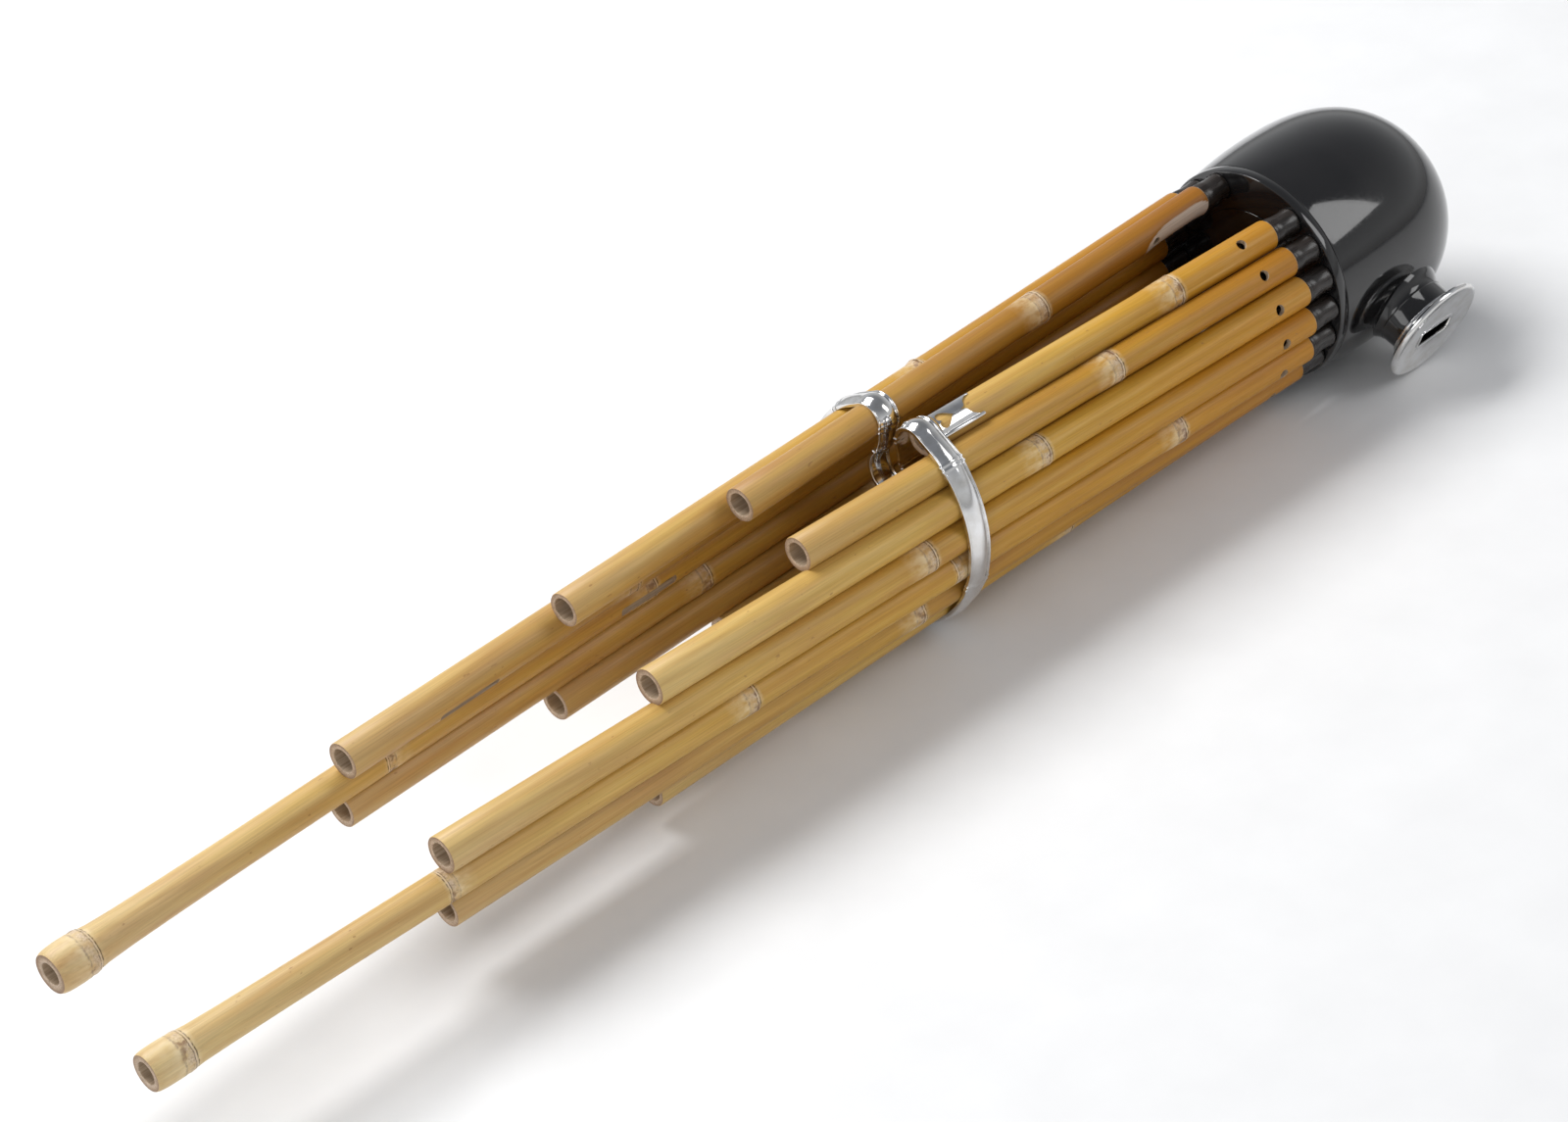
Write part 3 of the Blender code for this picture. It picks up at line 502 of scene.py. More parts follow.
def pipe_placement(label):
    foot, tip = LINES[label]
    middle = Vector((0.0, foot.y, foot.z))
    return placement_of(foot, tip - foot, middle)


def joint_rings(radius, height, lip, long_side):
    """Radii and heights over a bamboo joint: a groove, a narrow lip, a finer groove, an easy swelling."""
    steps = [(-5.0, 0.0), (-1.8, 0.04), (-0.5, 0.12), (-0.25, -0.03), (0.0, -0.03), (0.18, 0.26),
             (0.55, 0.28), (0.75, 0.08), (0.95, 0.08), (1.2, 0.21), (2.6, 0.22), (3.8, 0.17),
             (5.0, 0.17), (7.0, 0.13), (10.0, 0.07), (15.0, 0.0)]
    sizes = [lip if step < 2.0 else long_side for step, _ in steps]
    return [(radius + rise * size * MM, height + step * MM) for (step, rise), size in zip(steps, sizes)]


def pipe_rings(label, length):
    """The pipe's outside from foot to tip, its rounded tip, its bore and its foot again."""
    growth, joints, _, hole, _ = PIPES[label]
    bulb = TIP_BULBS.get(label, 0.0)
    free = length * 0.45

    def radius_at(height):
        share = min(max((height - free) / (length - free), 0.0), 1.0)
        return PIPE_RADIUS + growth * share

    outside = [(PIPE_RADIUS - 0.60 * MM, 0.0), (PIPE_RADIUS - 0.28 * MM, 0.10 * MM),
               (PIPE_RADIUS - 0.10 * MM, 0.35 * MM), (PIPE_RADIUS, 0.85 * MM)]
    taken = []
    for height in joints:
        outside += joint_rings(radius_at(height), height, *BIG_JOINTS.get(label, (1.0, 1.0)))
        taken.append((height + JOINT_REACH[0], height + JOINT_REACH[1]))
    steps = max(int(length / (18.0 * MM)), 4)
    end = length - (62.0 * MM if bulb else 2.0 * MM)
    for step in range(1, steps):
        height = end * step / steps
        if all(height < low - MM or height > high + MM for low, high in taken):
            outside.append((radius_at(height), height))
    if hole == "gap":
        outside += [(PIPE_RADIUS, step * MM) for step in range(2, 33)]
    outside.sort(key=lambda ring: ring[1])
    tip = PIPE_RADIUS + growth
    if bulb:
        outside += [(tip, length - 58.0 * MM), (tip + bulb * 0.10, length - 40.0 * MM),
                    (tip + bulb * 0.25, length - 24.0 * MM), (tip + bulb * 0.45, length - 15.5 * MM),
                    (tip + bulb * 0.62, length - 13.2 * MM), (tip + bulb * 0.55, length - 12.7 * MM),
                    (tip + bulb * 0.80, length - 12.3 * MM), (tip + bulb * 0.95, length - 11.0 * MM),
                    (tip + bulb * 0.88, length - 9.6 * MM), (tip + bulb * 0.96, length - 9.1 * MM),
                    (tip + bulb, length - 6.5 * MM), (tip + bulb * 0.97, length - 4.0 * MM),
                    (tip + bulb * 0.88, length - 2.0 * MM), (tip + bulb * 0.74, length - 0.9 * MM)]
        tip += bulb * 0.55
    outside += [(tip, length - END_ROUNDING), (tip - END_ROUNDING * 0.6, length)]
    inner = BORE_RADIUS + (0.25 * MM if growth > 0.3 * MM else 0.0)
    bore = [(inner + 0.2 * MM, length), (inner, length - 0.2 * MM), (inner, length * 0.5),
            (BORE_RADIUS, length * 0.3), (BORE_RADIUS, 0.0)]
    return [(radius, radius, height) for radius, height in outside + bore + outside[:1]]


def make_slot(label):
    """The tuning slot, on the side that faces the ring's middle, with round ends."""
    middle = PIPES[label][2]
    width, length = SLOT_SIZE
    deselect_all()
    bpy.ops.mesh.primitive_cube_add(size=1.0, location=(-PIPE_RADIUS, 0.0, middle),
                                    scale=(3.6 * MM, width, length))
    cutter = bpy.context.object
    bpy.ops.object.transform_apply(location=True, rotation=True, scale=True)
    soften = cutter.modifiers.new("Round", "BEVEL")
    soften.width = 0.9 * MM
    soften.segments = 4
    bpy.ops.object.modifier_apply(modifier=soften.name)
    return cutter


def scraped_share(point):
    """How far a point lies inside the place scraped round the thumb hole: 0 at its edge, 1 within."""
    around = math.atan2(point.y, point.x) + math.radians(90.0 + HOLLOW_TURN)
    around = (around + math.pi) % (2.0 * math.pi) - math.pi
    across = around / math.radians(HOLLOW_HALF_ANGLE)
    foot, low, high, end = HOLLOW_HEIGHTS
    along = max((low - point.z) / (low - foot), (point.z - high) / (end - high), 0.0)
    return max(1.0 - across ** 2 - along ** 2, 0.0)


def scrape(pipe):
    """Sinks the skin round the thumb hole, deepest in the middle of the scraped place."""
    for corner in pipe.data.vertices:
        reach = math.hypot(corner.co.x, corner.co.y)
        skin = max(reach - BORE_RADIUS, 0.0) / (PIPE_RADIUS - BORE_RADIUS)
        shrink = 1.0 - HOLLOW_DEPTH * min(skin, 1.0) * scraped_share(corner.co) / reach
        corner.co.x *= shrink
        corner.co.y *= shrink


def mark_pipe(piece, label, length):
    """Stores on the mesh where each point lies on its own pipe, for the bamboo's finish."""
    mesh = piece.data
    joints = PIPES[label][1]
    if label in TIP_BULBS:
        joints = joints + [length - 12.6 * MM]
    shift = random.Random(label).uniform(0.0, 5.0)
    low, high = JOINT_REACH
    kinds = {"own_place": "FLOAT_VECTOR", "tone": "FLOAT", "up_pipe": "FLOAT", "from_joint": "FLOAT",
             "bare": "FLOAT"}
    for name, kind in kinds.items():
        mesh.attributes.new(name, kind, "POINT")
    place, tone, up_pipe, from_joint, bare = (mesh.attributes[name].data for name in kinds)
    for index, corner in enumerate(mesh.vertices):
        height = corner.co.z
        nearest = min((height - joint for joint in joints), key=lambda gap: abs(gap - 5.0 * MM))
        place[index].vector = corner.co + Vector((0.0, 0.0, shift))
        tone[index].value = PIPES[label][4]
        up_pipe[index].value = 0.35 * height / (444.0 * MM) + 0.65 * height / length
        from_joint[index].value = (min(max(nearest, low), high) - low) / (high - low)
        bare[index].value = min(scraped_share(corner.co) * 5.0, 1.0) if PIPES[label][3] == "gap" else 0.0


def finish_pipe_faces(piece, length):
    """Skin outside, cut wood at both ends, bare fibre in the bore and wherever a tool has cut."""
    for finish in ("skin", "end", "fibre"):
        piece.data.materials.append(FINISHES[finish])
    for face in piece.data.polygons:
        centre = face.center
        reach = math.hypot(centre.x, centre.y)
        at_end = centre.z < 0.3 * MM or centre.z > length - 0.3 * MM
        side = Vector((centre.x, centre.y, 0.0)).normalized()
        if at_end and abs(face.normal.z) > 0.6:
            face.material_index = 1
        elif reach < PIPE_RADIUS - 0.12 * MM or face.normal.dot(side) < 0.4:
            face.material_index = 2


def make_pipe(label):
    foot, tip = LINES[label]
    length = (tip - foot).length
    _, _, slot_height, hole, _ = PIPES[label]
    pipe = draw_rings("bamboo_pipe_" + label, pipe_rings(label, length), PIPE_SIDES, "joined")
    if hole == "gap":
        drill = Matrix.Rotation(math.pi / 2.0, 4, "X")
        drill = Matrix.Translation((0.0, -PIPE_RADIUS, THUMB_HOLE_HEIGHT)) @ drill
        drill = Matrix.Rotation(math.radians(-THUMB_HOLE_TURN), 4, "Z") @ drill
        cut(pipe, rod(FINGER_HOLE_RADIUS, DRILL_DEPTH, drill))
    if hole == "outward":
        drill = Matrix.Rotation(math.pi / 2.0, 4, "Y")
        drill = Matrix.Translation((PIPE_RADIUS, 0.0, FINGER_HOLE_HEIGHT)) @ drill
        cut(pipe, rod(FINGER_HOLE_RADIUS, DRILL_DEPTH, drill))
    if slot_height:
        cut(pipe, make_slot(label))
    finish_pipe_faces(pipe, length)
    mark_pipe(pipe, label, length)
    if hole == "gap":
        scrape(pipe)
    place_and_settle(pipe, pipe_placement(label))
    smooth(pipe)
    dress(pipe, "body_pipe_" + label, "bamboo", "pipe_" + label)


def make_stem(label):
    """A turned root stem: a tube in the chest, a collar that shows and a tenon in the bamboo."""
    outside = [(2.6, -34.5), (2.95, -34.1), (3.4, -16.0), (3.4, -10.25), (4.35, -10.2), (4.5, -9.8),
               (4.3, -9.0), (4.2, -6.5), (4.3, -4.0), (4.55, -1.7), (4.42, -1.45), (4.42, -1.15),
               (4.6, -0.95), (4.6, -0.2), (4.5, -0.05), (3.1, -0.02), (3.1, 8.4), (2.1, 8.6),
               (2.1, -32.4)]
    rings = [(radius * MM, radius * MM, height * MM) for radius, height in outside]
    stem = draw_rings("root_stem_" + label, rings, 32, "capped")
    if PIPES[label][2]:
        deselect_all()
        bpy.ops.mesh.primitive_cube_add(size=1.0, location=(-4.75 * MM, 0.0, -24.7 * MM),
                                        scale=(4.0 * MM, 9.0 * MM, 16.2 * MM))
        cut(stem, bpy.context.object)
        deselect_all()
        bpy.ops.mesh.primitive_cube_add(size=1.0, location=(-2.6 * MM, 0.0, -24.7 * MM),
                                        scale=(4.4 * MM, 2.8 * MM, 12.6 * MM))
        cut(stem, bpy.context.object)
    stem.data.materials.append(FINISHES["stem"])
    place_and_settle(stem, pipe_placement(label))
    smooth(stem)
    dress(stem, "body_pipe_" + label, "stem_wood", "stem_" + label)


def make_reed(label):
    """A reed's tongue: broad at the root, thin at the free end, with its bead of tuning wax."""
    deselect_all()
    bpy.ops.mesh.primitive_cube_add(size=1.0, location=(-2.45 * MM, 0.0, -24.7 * MM),
                                    scale=(0.3 * MM, 2.2 * MM, 12.0 * MM))
    reed = bpy.context.object
    reed.name = "reed_tongue_" + label
    bpy.ops.object.transform_apply(location=True, rotation=True, scale=True)
    bpy.ops.object.mode_set(mode="EDIT")
    bpy.ops.mesh.select_all(action="SELECT")
    bpy.ops.mesh.subdivide(number_cuts=3)
    bpy.ops.object.mode_set(mode="OBJECT")
    for corner in reed.data.vertices:
        share = (corner.co.z + 30.7 * MM) / (12.0 * MM)
        corner.co.y *= 1.0 - 0.18 * share
        corner.co.x = -2.45 * MM + (corner.co.x + 2.45 * MM) * (1.0 - 0.4 * share)
    deselect_all()
    bpy.ops.mesh.primitive_uv_sphere_add(segments=16, ring_count=10, radius=1.0,
                                         location=(-2.6 * MM, 0.0, -20.4 * MM),
                                         scale=(0.35 * MM, 0.8 * MM, 1.0 * MM))
    wax = bpy.context.object
    bpy.ops.object.transform_apply(location=True, rotation=True, scale=True)
    cut(reed, wax, "UNION")
    reed.data.materials.append(FINISHES["brass"])
    place_and_settle(reed, pipe_placement(label))
    smooth(reed)
    dress(reed, "body_reed_" + label, "reed_brass", "reed_" + label)


def bowl_side(belly, end, rim, lip):
    """The bowl's side from its lip to its bottom, as (radius, depth below the plate)."""
    side = []
    for step in range(8):
        depth = lip + (BELLY_DEPTH - lip) * step / 8.0
        side.append((belly - (belly - rim) * ((BELLY_DEPTH - depth) / (BELLY_DEPTH - lip)) ** 2, depth))
    power = 2.0 / BOWL_ROUNDNESS
    for step in range(30):
        turn = math.radians(90.0 * step / 30.0)
        depth = BELLY_DEPTH + (end - BELLY_DEPTH) * math.sin(turn) ** power
        side.append((belly * math.cos(turn) ** power, depth))
    return side


def chest_placement():
    return placement_of(Vector((0.0, 0.0, 0.0)), Vector((-1.0, 0.0, 0.0)), outward(0.0))


def mouth_placement():
    return placement_of(Vector((MOUTH_DEPTH, 0.0, 0.0)), outward(MOUTH_ANGLE), Vector((1.0, 0.0, 0.0)))


def make_bowl():
    """The lacquered bowl, with a softly rounded lip and a hole for the mouthpiece."""
    lip = PLATE_THICKNESS + 0.1 * MM
    outside = bowl_side(BELLY_RADIUS, CHEST_DEPTH, RIM_RADIUS, lip + 0.5 * MM)
    inside = bowl_side(BELLY_RADIUS - CHEST_WALL, CHEST_DEPTH - CHEST_WALL, RIM_RADIUS - RIM_WALL,
                       lip + 0.4 * MM)
    rounding = [(RIM_RADIUS - 0.05 * MM, lip + 0.22 * MM), (RIM_RADIUS - 0.25 * MM, lip + 0.05 * MM),
                (RIM_RADIUS - 0.5 * MM, lip), (RIM_RADIUS - RIM_WALL + 0.2 * MM, lip)]
    profile = list(reversed(outside)) + rounding + inside
    rings = [(radius, radius, -depth) for radius, depth in profile]
    bowl = draw_rings("lacquered_bowl", rings, 144, "capped")
    place_and_settle(bowl, chest_placement())
    across, deep = NECK_RADII
    rings = [(across, deep, NECK_START - 9.0 * MM), (across, deep, FLANGE_FACE)]
    hole = draw_rings("neck_hole", rings, 64, "capped")
    hole.matrix_world = mouth_placement()
    cut(bowl, hole)
    bowl.data.materials.append(FINISHES["lacquer"])
    smooth(bowl)
    dress(bowl, "chest", "black_lacquer", "wind_chest")


def make_plate():
    """The plate that closes the bowl: a disc with a rounded edge, drilled for the stems."""
    edge = 0.5 * MM
    side = RIM_RADIUS - 0.02 * MM
    profile = [(side - edge, -PLATE_THICKNESS), (side - 0.1 * MM, -PLATE_THICKNESS + 0.1 * MM),
               (side, -PLATE_THICKNESS + 0.4 * MM), (side, -edge), (side - 0.15 * MM, -edge * 0.3),
               (side - edge, 0.0), (23.4 * MM, 0.0), (23.25 * MM, -0.3 * MM), (22.75 * MM, -0.3 * MM),
               (22.6 * MM, 0.0)]
    rings = [(radius, radius, height) for radius, height in profile]
    plate = draw_rings("lacquered_plate", rings, 144, "capped")
    place_and_settle(plate, chest_placement())
    for label in PIPES:
        middle = Matrix.Translation((0.0, 0.0, -STEM_SHOWING - PLATE_THICKNESS / 2.0))
        cut(plate, rod(STEM_HOLE_RADIUS, PLATE_THICKNESS * 3.0, pipe_placement(label) @ middle))
    plate.data.materials.append(FINISHES["lacquer"])
    smooth(plate)
    dress(plate, "chest", "black_lacquer", "chest_plate")


def make_neck():
    """The short oval neck, with a hollow moulding and a fine step where it leaves the bowl."""
    across, deep = NECK_RADII
    foot = [(34.7, 2.2), (35.8, 1.9), (36.8, 1.4), (37.6, 0.9), (38.4, 0.5), (39.2, 0.25), (39.5, 0.25),
            (39.65, 0.05), (39.8, -0.02), (47.6, -0.02)]
    outside = [(across + grow * MM, deep + grow * 1.3 * MM, height * MM) for height, grow in foot]
    inside = [(across - NECK_WALL, deep - NECK_WALL, height) for height in (47.7 * MM, NECK_START)]
    neck = draw_rings("lacquered_neck", outside + inside + outside[:1], 96, "joined")
    place_and_settle(neck, mouth_placement())
    neck.data.materials.append(FINISHES["lacquer"])
    smooth(neck)
    dress(neck, "chest", "black_lacquer", "mouthpiece_neck")


def make_cap():
    """The silver cap: a sleeve on the neck, a fillet, a round flange with a rolled rim, a blow slot."""
    across, deep = NECK_RADII
    inner = 0.2 * MM
    outer = 1.15 * MM
    back = FLANGE_FACE - FLANGE_THICKNESS
    start = back - SLEEVE_LENGTH
    reach = FLANGE_RADIUS
    rings = [
        (across + inner, deep + inner, back), (across + inner, deep + inner, start),
        (across + outer - 0.3 * MM, deep + outer - 0.3 * MM, start - 0.05 * MM),
        (across + outer, deep + outer, start + 0.2 * MM),
        (across + outer, deep + outer, start + 0.7 * MM),
        (across + outer - 0.2 * MM, deep + outer - 0.2 * MM, start + 0.9 * MM),
        (across + outer - 0.15 * MM, deep + outer - 0.15 * MM, back - 1.1 * MM),
        (across + outer, deep + outer, back - 0.75 * MM),
        (across + outer + 0.25 * MM, deep + outer + 0.3 * MM, back - 0.4 * MM),
        (across + outer + 0.7 * MM, deep + outer + 0.9 * MM, back - 0.1 * MM),
        (across + outer + 1.3 * MM, deep + outer + 1.7 * MM, back),
        (reach - 1.2 * MM, reach - 1.2 * MM, back + 0.05 * MM),
        (reach - 0.4 * MM, reach - 0.4 * MM, back + 0.2 * MM),
        (reach, reach, back + 0.7 * MM), (reach, reach, back + 1.2 * MM),
        (reach - 0.3 * MM, reach - 0.3 * MM, back + 1.75 * MM),
        (reach - 0.8 * MM, reach - 0.8 * MM, FLANGE_FACE),
        (reach - 1.3 * MM, reach - 1.3 * MM, FLANGE_FACE - 0.05 * MM),
        (reach - 1.7 * MM, reach - 1.7 * MM, FLANGE_FACE - 0.25 * MM),
        (reach - 6.0 * MM, reach - 6.0 * MM, FLANGE_FACE - 0.35 * MM),
    ]
    cap = draw_rings("silver_mouth_cap", rings, 128, "capped")
    length, width = BLOW_SLOT
    lip = slot_block(length + 1.6 * MM, width + 1.6 * MM, 0.9 * MM, 1.6 * MM, FLANGE_FACE - 0.45 * MM)
    cut(cap, lip, "UNION")
    cut(cap, slot_block(length, width, 8.0 * MM, 1.0 * MM, FLANGE_FACE))
    place_and_settle(cap, mouth_placement())
    soften = cap.modifiers.new("Edges", "BEVEL")
    soften.width = 0.12 * MM
    soften.segments = 2
    soften.limit_method = "ANGLE"
    soften.angle_limit = math.radians(50.0)
    make_active(cap)
    bpy.ops.object.modifier_apply(modifier=soften.name)
    cap.data.materials.append(FINISHES["silver"])
    smooth(cap)
    dress(cap, "chest", "silver", "mouthpiece_cap")


def slot_block(length, width, height, corner, middle):
    """A block with rounded corners, for the blow slot and the lip round it."""
    deselect_all()
    bpy.ops.mesh.primitive_cube_add(size=1.0, location=(0.0, 0.0, middle), scale=(length, width, height))
    block = bpy.context.object
    bpy.ops.object.transform_apply(location=True, rotation=True, scale=True)
    bpy.ops.object.mode_set(mode="EDIT")
    bpy.ops.mesh.select_mode(type="EDGE")
    bpy.ops.mesh.select_all(action="DESELECT")
    bpy.ops.object.mode_set(mode="OBJECT")
    for edge in block.data.edges:
        first, second = (block.data.vertices[index].co for index in edge.vertices)
        edge.select = abs(first.z - second.z) > height * 0.5
    bpy.ops.object.mode_set(mode="EDIT")
    bpy.ops.mesh.bevel(offset=corner, segments=6)
    bpy.ops.object.mode_set(mode="OBJECT")
    return block


def arc(centre, radius, start, end, count):
    """Points round a centre; an angle of 0 is towards the gap and 90 towards the first wing."""
    points = []
    for step in range(count + 1):
        turn = math.radians(start + (end - start) * step / count)
        points.append(centre + Vector((math.sin(turn), math.cos(turn))) * radius)
    return points


def pipe_spot(label, height):
    """Where a pipe crosses the band's plane: X towards the first wing, Y towards the gap."""
    foot, tip = LINES[label]
    along = (tip - foot).normalized()
    spot = foot + along * (height / -along.x)
    return Vector((spot.dot(outward(GAP_ANGLE + 90.0)), spot.dot(outward(GAP_ANGLE))))


def band_path():
    """The band's closed middle line. It runs over every pipe, turns in between the first and the last,
    and makes a round loop inside the ring."""
    hug = GRIP_RADIUS + BAND_THICKNESS / 2.0
    spots = [pipe_spot(label, BAND_START + BAND_WIDTH / 2.0) for label in sorted(PIPES)]
    first, last = (math.degrees(math.atan2(spot.x, spot.y)) for spot in (spots[0], spots[-1]))
    loop = Vector((0.0, LOOP_HEIGHT))
    neck = Vector(BAND_NECK)
    path = arc(loop, LOOP_RADIUS, 180.0, LOOP_OPENING, 80) + [neck]
    path += arc(spots[0], hug, -GAP_WRAP, first + 8.0, 40)
    outline = [spots[0] + spots[0].normalized() * hug]
    outline += [spot + spot.normalized() * hug for spot in spots[1:-1]]
    outline += [spots[-1] + spots[-1].normalized() * hug]
    path += curve_through(outline, 16)[3:-3]
    path += arc(spots[-1], hug, last - 8.0, GAP_WRAP, 40)
    path += [Vector((-neck.x, neck.y))] + arc(loop, LOOP_RADIUS, -LOOP_OPENING, -180.0, 80)[:-1]
    return path


def curve_through(points, steps):
    """Points on an easy curve that passes through every given point."""
    ends = [points[0] * 2.0 - points[1]] + points + [points[-1] * 2.0 - points[-2]]
    path = []
    for before, start, end, after in zip(ends, ends[1:], ends[2:], ends[3:]):
        for step in range(steps):
            share = step / steps
            path.append((start * 2.0 + (end - before) * share
                         + (before * 2.0 - start * 5.0 + end * 4.0 - after) * share ** 2
                         + (start * 3.0 - before - end * 3.0 + after) * share ** 3) / 2.0)
    return path + [points[-1]]


def even_path(path, spacing):
    """The same closed line with its points at an even spacing."""
    path = path + path[:1]
    lengths = [0.0]
    for before, after in zip(path, path[1:]):
        lengths.append(lengths[-1] + (after - before).length)
    count = int(lengths[-1] / spacing)
    points = []
    place = 0
    for step in range(count):
        want = lengths[-1] * step / count
        while place < len(lengths) - 2 and lengths[place + 1] < want:
            place += 1
        share = (want - lengths[place]) / max(lengths[place + 1] - lengths[place], 1e-9)
        points.append(path[place].lerp(path[place + 1], min(share, 1.0)))
    return points


def ease(points, passes):
    """The same closed line with its corners eased."""
    for _ in range(passes):
        points = [(points[place - 1] + here * 2.0 + points[(place + 1) % len(points)]) / 4.0
                  for place, here in enumerate(points)]
    return points


def band_swelling(distance):
    """How much wider the band is near one of its bamboo-like joints: a soft flare and a double ridge."""
    reach = abs(distance) / MM
    flare = 0.06 * math.exp(-(reach / 3.5) ** 2)
    ridges = 0.11 * math.exp(-((reach - 0.75) / 0.32) ** 2)
    return flare + ridges


def band_section():
    """Cross-section of the band, as (inward, along the pipes): a crowned strip between rolled rims."""
    half = BAND_WIDTH / 2.0
    skin = BAND_THICKNESS / 2.0
    roll = 0.42 * MM
    points = [(skin, half), (skin, -half)]
    steps = 48
    for step in range(steps + 1):
        along = -half * math.cos(math.pi * step / steps)
        from_rim = half - abs(along)
        if from_rim < roll * 2.0:
            rise = math.sqrt(max(roll ** 2 - (from_rim - roll) ** 2, 0.0))
        else:
            rise = BAND_CROWN * (1.0 - (along / (half - roll * 2.0)) ** 2)
        points.append((-(skin + rise), along))
    return points


def line_object(name, outlines):
    """A flat curve object made of closed or open straight-sided outlines of (x, y, radius)."""
    curve = bpy.data.curves.new(name, "CURVE")
    curve.dimensions = "2D"
    for points, closed in outlines:
        spline = curve.splines.new("POLY")
        spline.points.add(len(points) - 1)
        for spot, point in zip(spline.points, points):
            spot.co = (point[0], point[1], 0.0, 1.0)
            spot.radius = point[2] if len(point) > 2 else 1.0
        spline.use_cyclic_u = closed
    line = bpy.data.objects.new(name, curve)
    bpy.context.scene.collection.objects.link(line)
    return line


def mesh_of(line):
    """Turns a curve into a closed mesh, its caps welded on."""
    make_active(line)
    bpy.ops.object.convert(target="MESH")
    piece = bpy.context.object
    bpy.ops.object.mode_set(mode="EDIT")
    bpy.ops.mesh.select_all(action="SELECT")
    bpy.ops.mesh.remove_doubles(threshold=0.005 * MM)
    bpy.ops.mesh.normals_make_consistent(inside=False)
    bpy.ops.object.mode_set(mode="OBJECT")
    return piece


def make_band():
    """The silver band: one crowned strip round both wings and in through the gap, jointed like bamboo."""
    path = ease(even_path(band_path(), BAND_STEP), 10)
    widths = [1.0] * len(path)
    for spot in BAND_JOINTS:
        joint = min(range(len(path)), key=lambda place: (path[place] - Vector(spot)).length)
        for place in range(len(path)):
            steps = min((place - joint) % len(path), (joint - place) % len(path))
            widths[place] = max(widths[place], 1.0 + band_swelling(steps * BAND_STEP))
    section = line_object("band_section", [(band_section(), True)])
    middle_line = [(spot.x, spot.y, width) for spot, width in zip(path, widths)]
    band = line_object("silver_pipe_band", [(middle_line, True)])
    band.data.bevel_mode = "OBJECT"
    band.data.bevel_object = section
    first_wing = outward(GAP_ANGLE + 90.0)
    gap_side = outward(GAP_ANGLE)
    placement = Matrix((first_wing, gap_side, first_wing.cross(gap_side))).transposed().to_4x4()
    placement.translation = Vector((-STEM_SHOWING - BAND_START - BAND_WIDTH / 2.0, 0.0, 0.0))
    band = mesh_of(band)
    bpy.data.objects.remove(section)
    place_and_settle(band, placement)
    band.data.materials.clear()
    band.data.materials.append(FINISHES["silver"])
    smooth(band)
    dress(band, "chest", "silver", "silver_band")


def heart_outline(cleft, length, width):
    """A heart that points along +X, with its cleft at a given distance from the band."""
    points = []
    for step in range(64):
        turn = 2.0 * math.pi * step / 64.0
        across = 16.0 * math.sin(turn) ** 3
        along = 13.0 * math.cos(turn) - 5.0 * math.cos(2.0 * turn)
        along -= 2.0 * math.cos(3.0 * turn) + math.cos(4.0 * turn)
        points.append((cleft + (5.0 - along) * length / 29.0, across * width / 32.0))
    return points


def plate_outline():
    """Outline of the pierced plate: square at the band, with two horns and a cusp at the other end."""
    side = [(9.3, 0.0), (10.7, 0.35), (11.3, 0.9), (11.6, 1.5),
            (12.1, 2.2), (12.9, 2.8), (14.0, 3.3), (15.8, 3.95)]
    far = [(reach * MM, across * MM) for reach, across in side]
    near = 3.95 * MM
    return [(0.0, -near), (0.0, near)] + far[::-1] + [(reach, -across) for reach, across in far[1:]]


def make_heart_plate():
    """The heart-pierced plate on the first pipe, with a round bar along one edge."""
    inner, outer = HEART_PLATE_RADII
    half_angle = math.radians(HEART_PLATE_HALF_ANGLE)
    band_side = BAND_START - BAND_RIM - 0.3 * MM
    low, high = band_side - 19.0 * MM, band_side + 2.0 * MM
    rings = [(radius, radius, height) for radius, height in
             [(outer, high), (outer, low), (inner, low), (inner, high), (outer, high)]]
    plate = draw_rings("heart_pierced_plate", rings, 96, "joined")
    heart = heart_outline(HEART_PLACE, *HEART_SIZE)
    outline = line_object("plate_outline", [(plate_outline(), True), (heart, True)])
    outline.data.fill_mode = "BOTH"
    outline.data.extrude = 3.0 * MM
    cookie = mesh_of(outline)
    cookie.matrix_world = Matrix(((0.0, 0.0, 1.0, inner), (0.0, 1.0, 0.0, 0.0),
                                  (-1.0, 0.0, 0.0, band_side), (0.0, 0.0, 0.0, 1.0)))
    cut(plate, cookie, "INTERSECT")
    lengthwise = ((0.4, -16.2), (0.8, -16.1), (1.0, -15.8), (1.0, -0.25), (0.8, 0.0), (0.4, 0.05))
    for side, thickness in ((-half_angle, BAR_RADIUS), (half_angle * 0.97, WIRE_RADIUS)):
        reach = inner + thickness * 0.95
        rings = [(share * thickness, share * thickness, height * MM) for share, height in lengthwise]
        wire = draw_rings("plate_wire", rings, 24, "capped")
        spot = (reach * math.cos(side), reach * math.sin(side), band_side)
        wire.matrix_world = Matrix.Translation(spot)
        cut(plate, wire, "UNION")
    plate.data.materials.append(FINISHES["silver"])
    turn = Matrix.Rotation(math.radians(HEART_PLATE_TURN), 4, "Z")
    place_and_settle(plate, pipe_placement("01_sen") @ turn)
    smooth(plate, 30.0)
    dress(plate, "chest", "silver", "heart_plate")


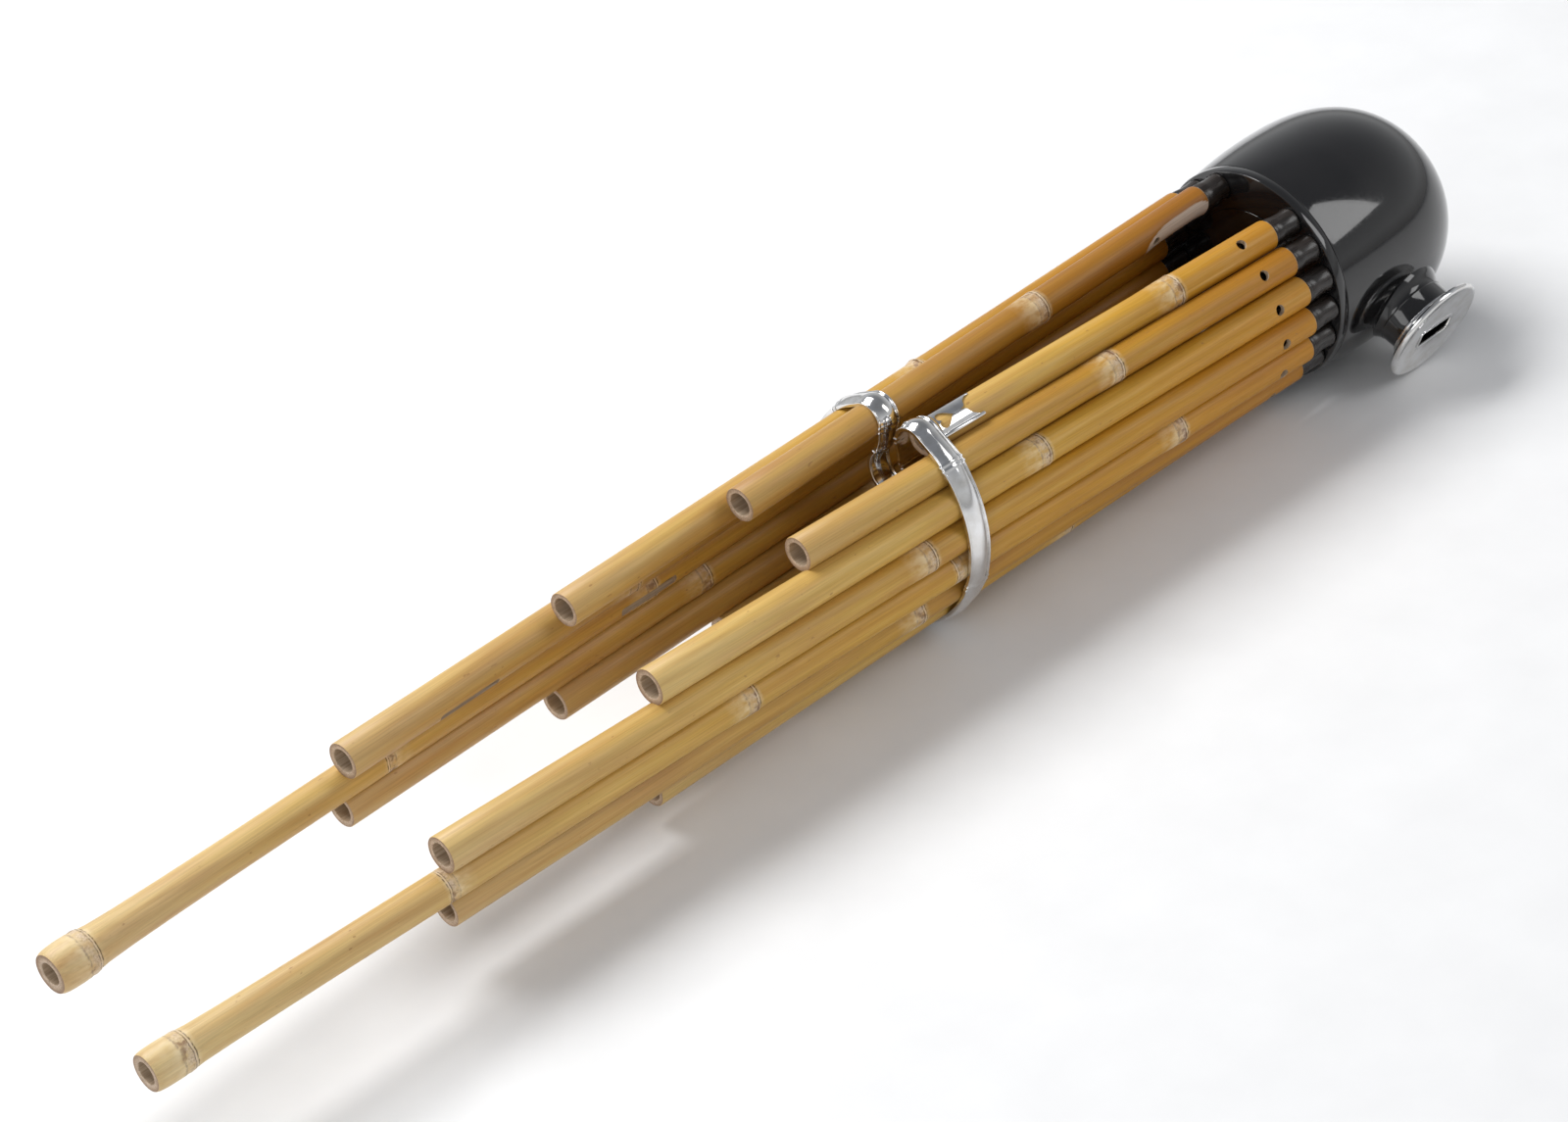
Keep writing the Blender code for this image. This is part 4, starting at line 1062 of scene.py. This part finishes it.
def make_floor():
    """A plain pale floor, level with the lowest point of the instrument."""
    deselect_all()
    bpy.ops.mesh.primitive_plane_add(size=8.0, location=(0.0, 0.0, cad_low.z))
    floor = bpy.context.object
    floor.name = "studio_floor"
    mat, shader = new_finish("pale_floor", 0.65)
    place = add_node(mat, "TexCoord").outputs["Object"]
    grain = noise_on(mat, place, (1.0, 1.0, 1.0), 40.0, 4.0)
    feed(mat, shader, grey_ramp(mat, grain, [(0.3, 0.80), (0.7, 0.83)]))
    shader.inputs["Specular IOR Level"].default_value = 0.2
    floor.data.materials.append(mat)


def softbox(name, place, aim, size, power, colour=(1.0, 1.0, 1.0)):
    data = bpy.data.lights.new(name, "AREA")
    data.shape = "RECTANGLE"
    data.size, data.size_y = size
    data.energy = power
    data.color = colour
    lamp = bpy.data.objects.new(name, data)
    lamp.location = place
    lamp.rotation_mode = "QUATERNION"
    lamp.rotation_quaternion = (Vector(aim) - Vector(place)).to_track_quat("-Z", "Y")
    bpy.context.scene.collection.objects.link(lamp)


def make_light():
    """Plain soft studio light: a large box overhead and behind, a low fill and an even pale room."""
    middle = (-0.2, 0.0, 0.0)
    softbox("key_box", (-0.35, 0.75, 1.15), middle, (1.1, 0.7), 22.0)
    softbox("side_box", (0.6, -0.9, 0.9), middle, (0.5, 0.8), 4.0)
    softbox("front_box", (-1.3, -0.5, 0.8), middle, (0.8, 0.6), 3.0)
    world = bpy.data.worlds.new("pale_room")
    world.use_nodes = True
    bpy.context.scene.world = world
    nodes = world.node_tree.nodes
    sky = nodes["Background"]
    sky.inputs["Strength"].default_value = 1.0
    direction = nodes.new("ShaderNodeTexCoord")
    parts = nodes.new("ShaderNodeSeparateXYZ")
    shade = nodes.new("ShaderNodeValToRGB")
    world.node_tree.links.new(direction.outputs["Generated"], parts.inputs[0])
    world.node_tree.links.new(parts.outputs["Z"], shade.inputs["Fac"])
    world.node_tree.links.new(shade.outputs["Color"], sky.inputs["Color"])
    marks = shade.color_ramp.elements
    marks[0].position, marks[0].color = 0.0, (0.40, 0.40, 0.40, 1.0)
    marks[1].position, marks[1].color = 0.75, (0.22, 0.23, 0.25, 1.0)
    marks.new(0.14).color = (0.62, 0.63, 0.64, 1.0)


def make_camera():
    data = bpy.data.cameras.new("camera")
    data.lens = CAMERA_LENS
    data.sensor_width = 36.0
    data.clip_start = 0.05
    camera = bpy.data.objects.new("camera", data)
    camera.location = CAMERA_PLACE
    camera.rotation_euler = [math.radians(angle) for angle in CAMERA_TURN]
    bpy.context.scene.collection.objects.link(camera)
    bpy.context.scene.camera = camera


for label in PIPES:
    make_pipe(label)
    make_stem(label)
    if PIPES[label][2]:
        make_reed(label)
make_bowl()
make_plate()
make_neck()
make_cap()
make_band()
make_heart_plate()
make_floor()
make_light()
make_camera()
bpy.context.scene.view_settings.view_transform = "Standard"
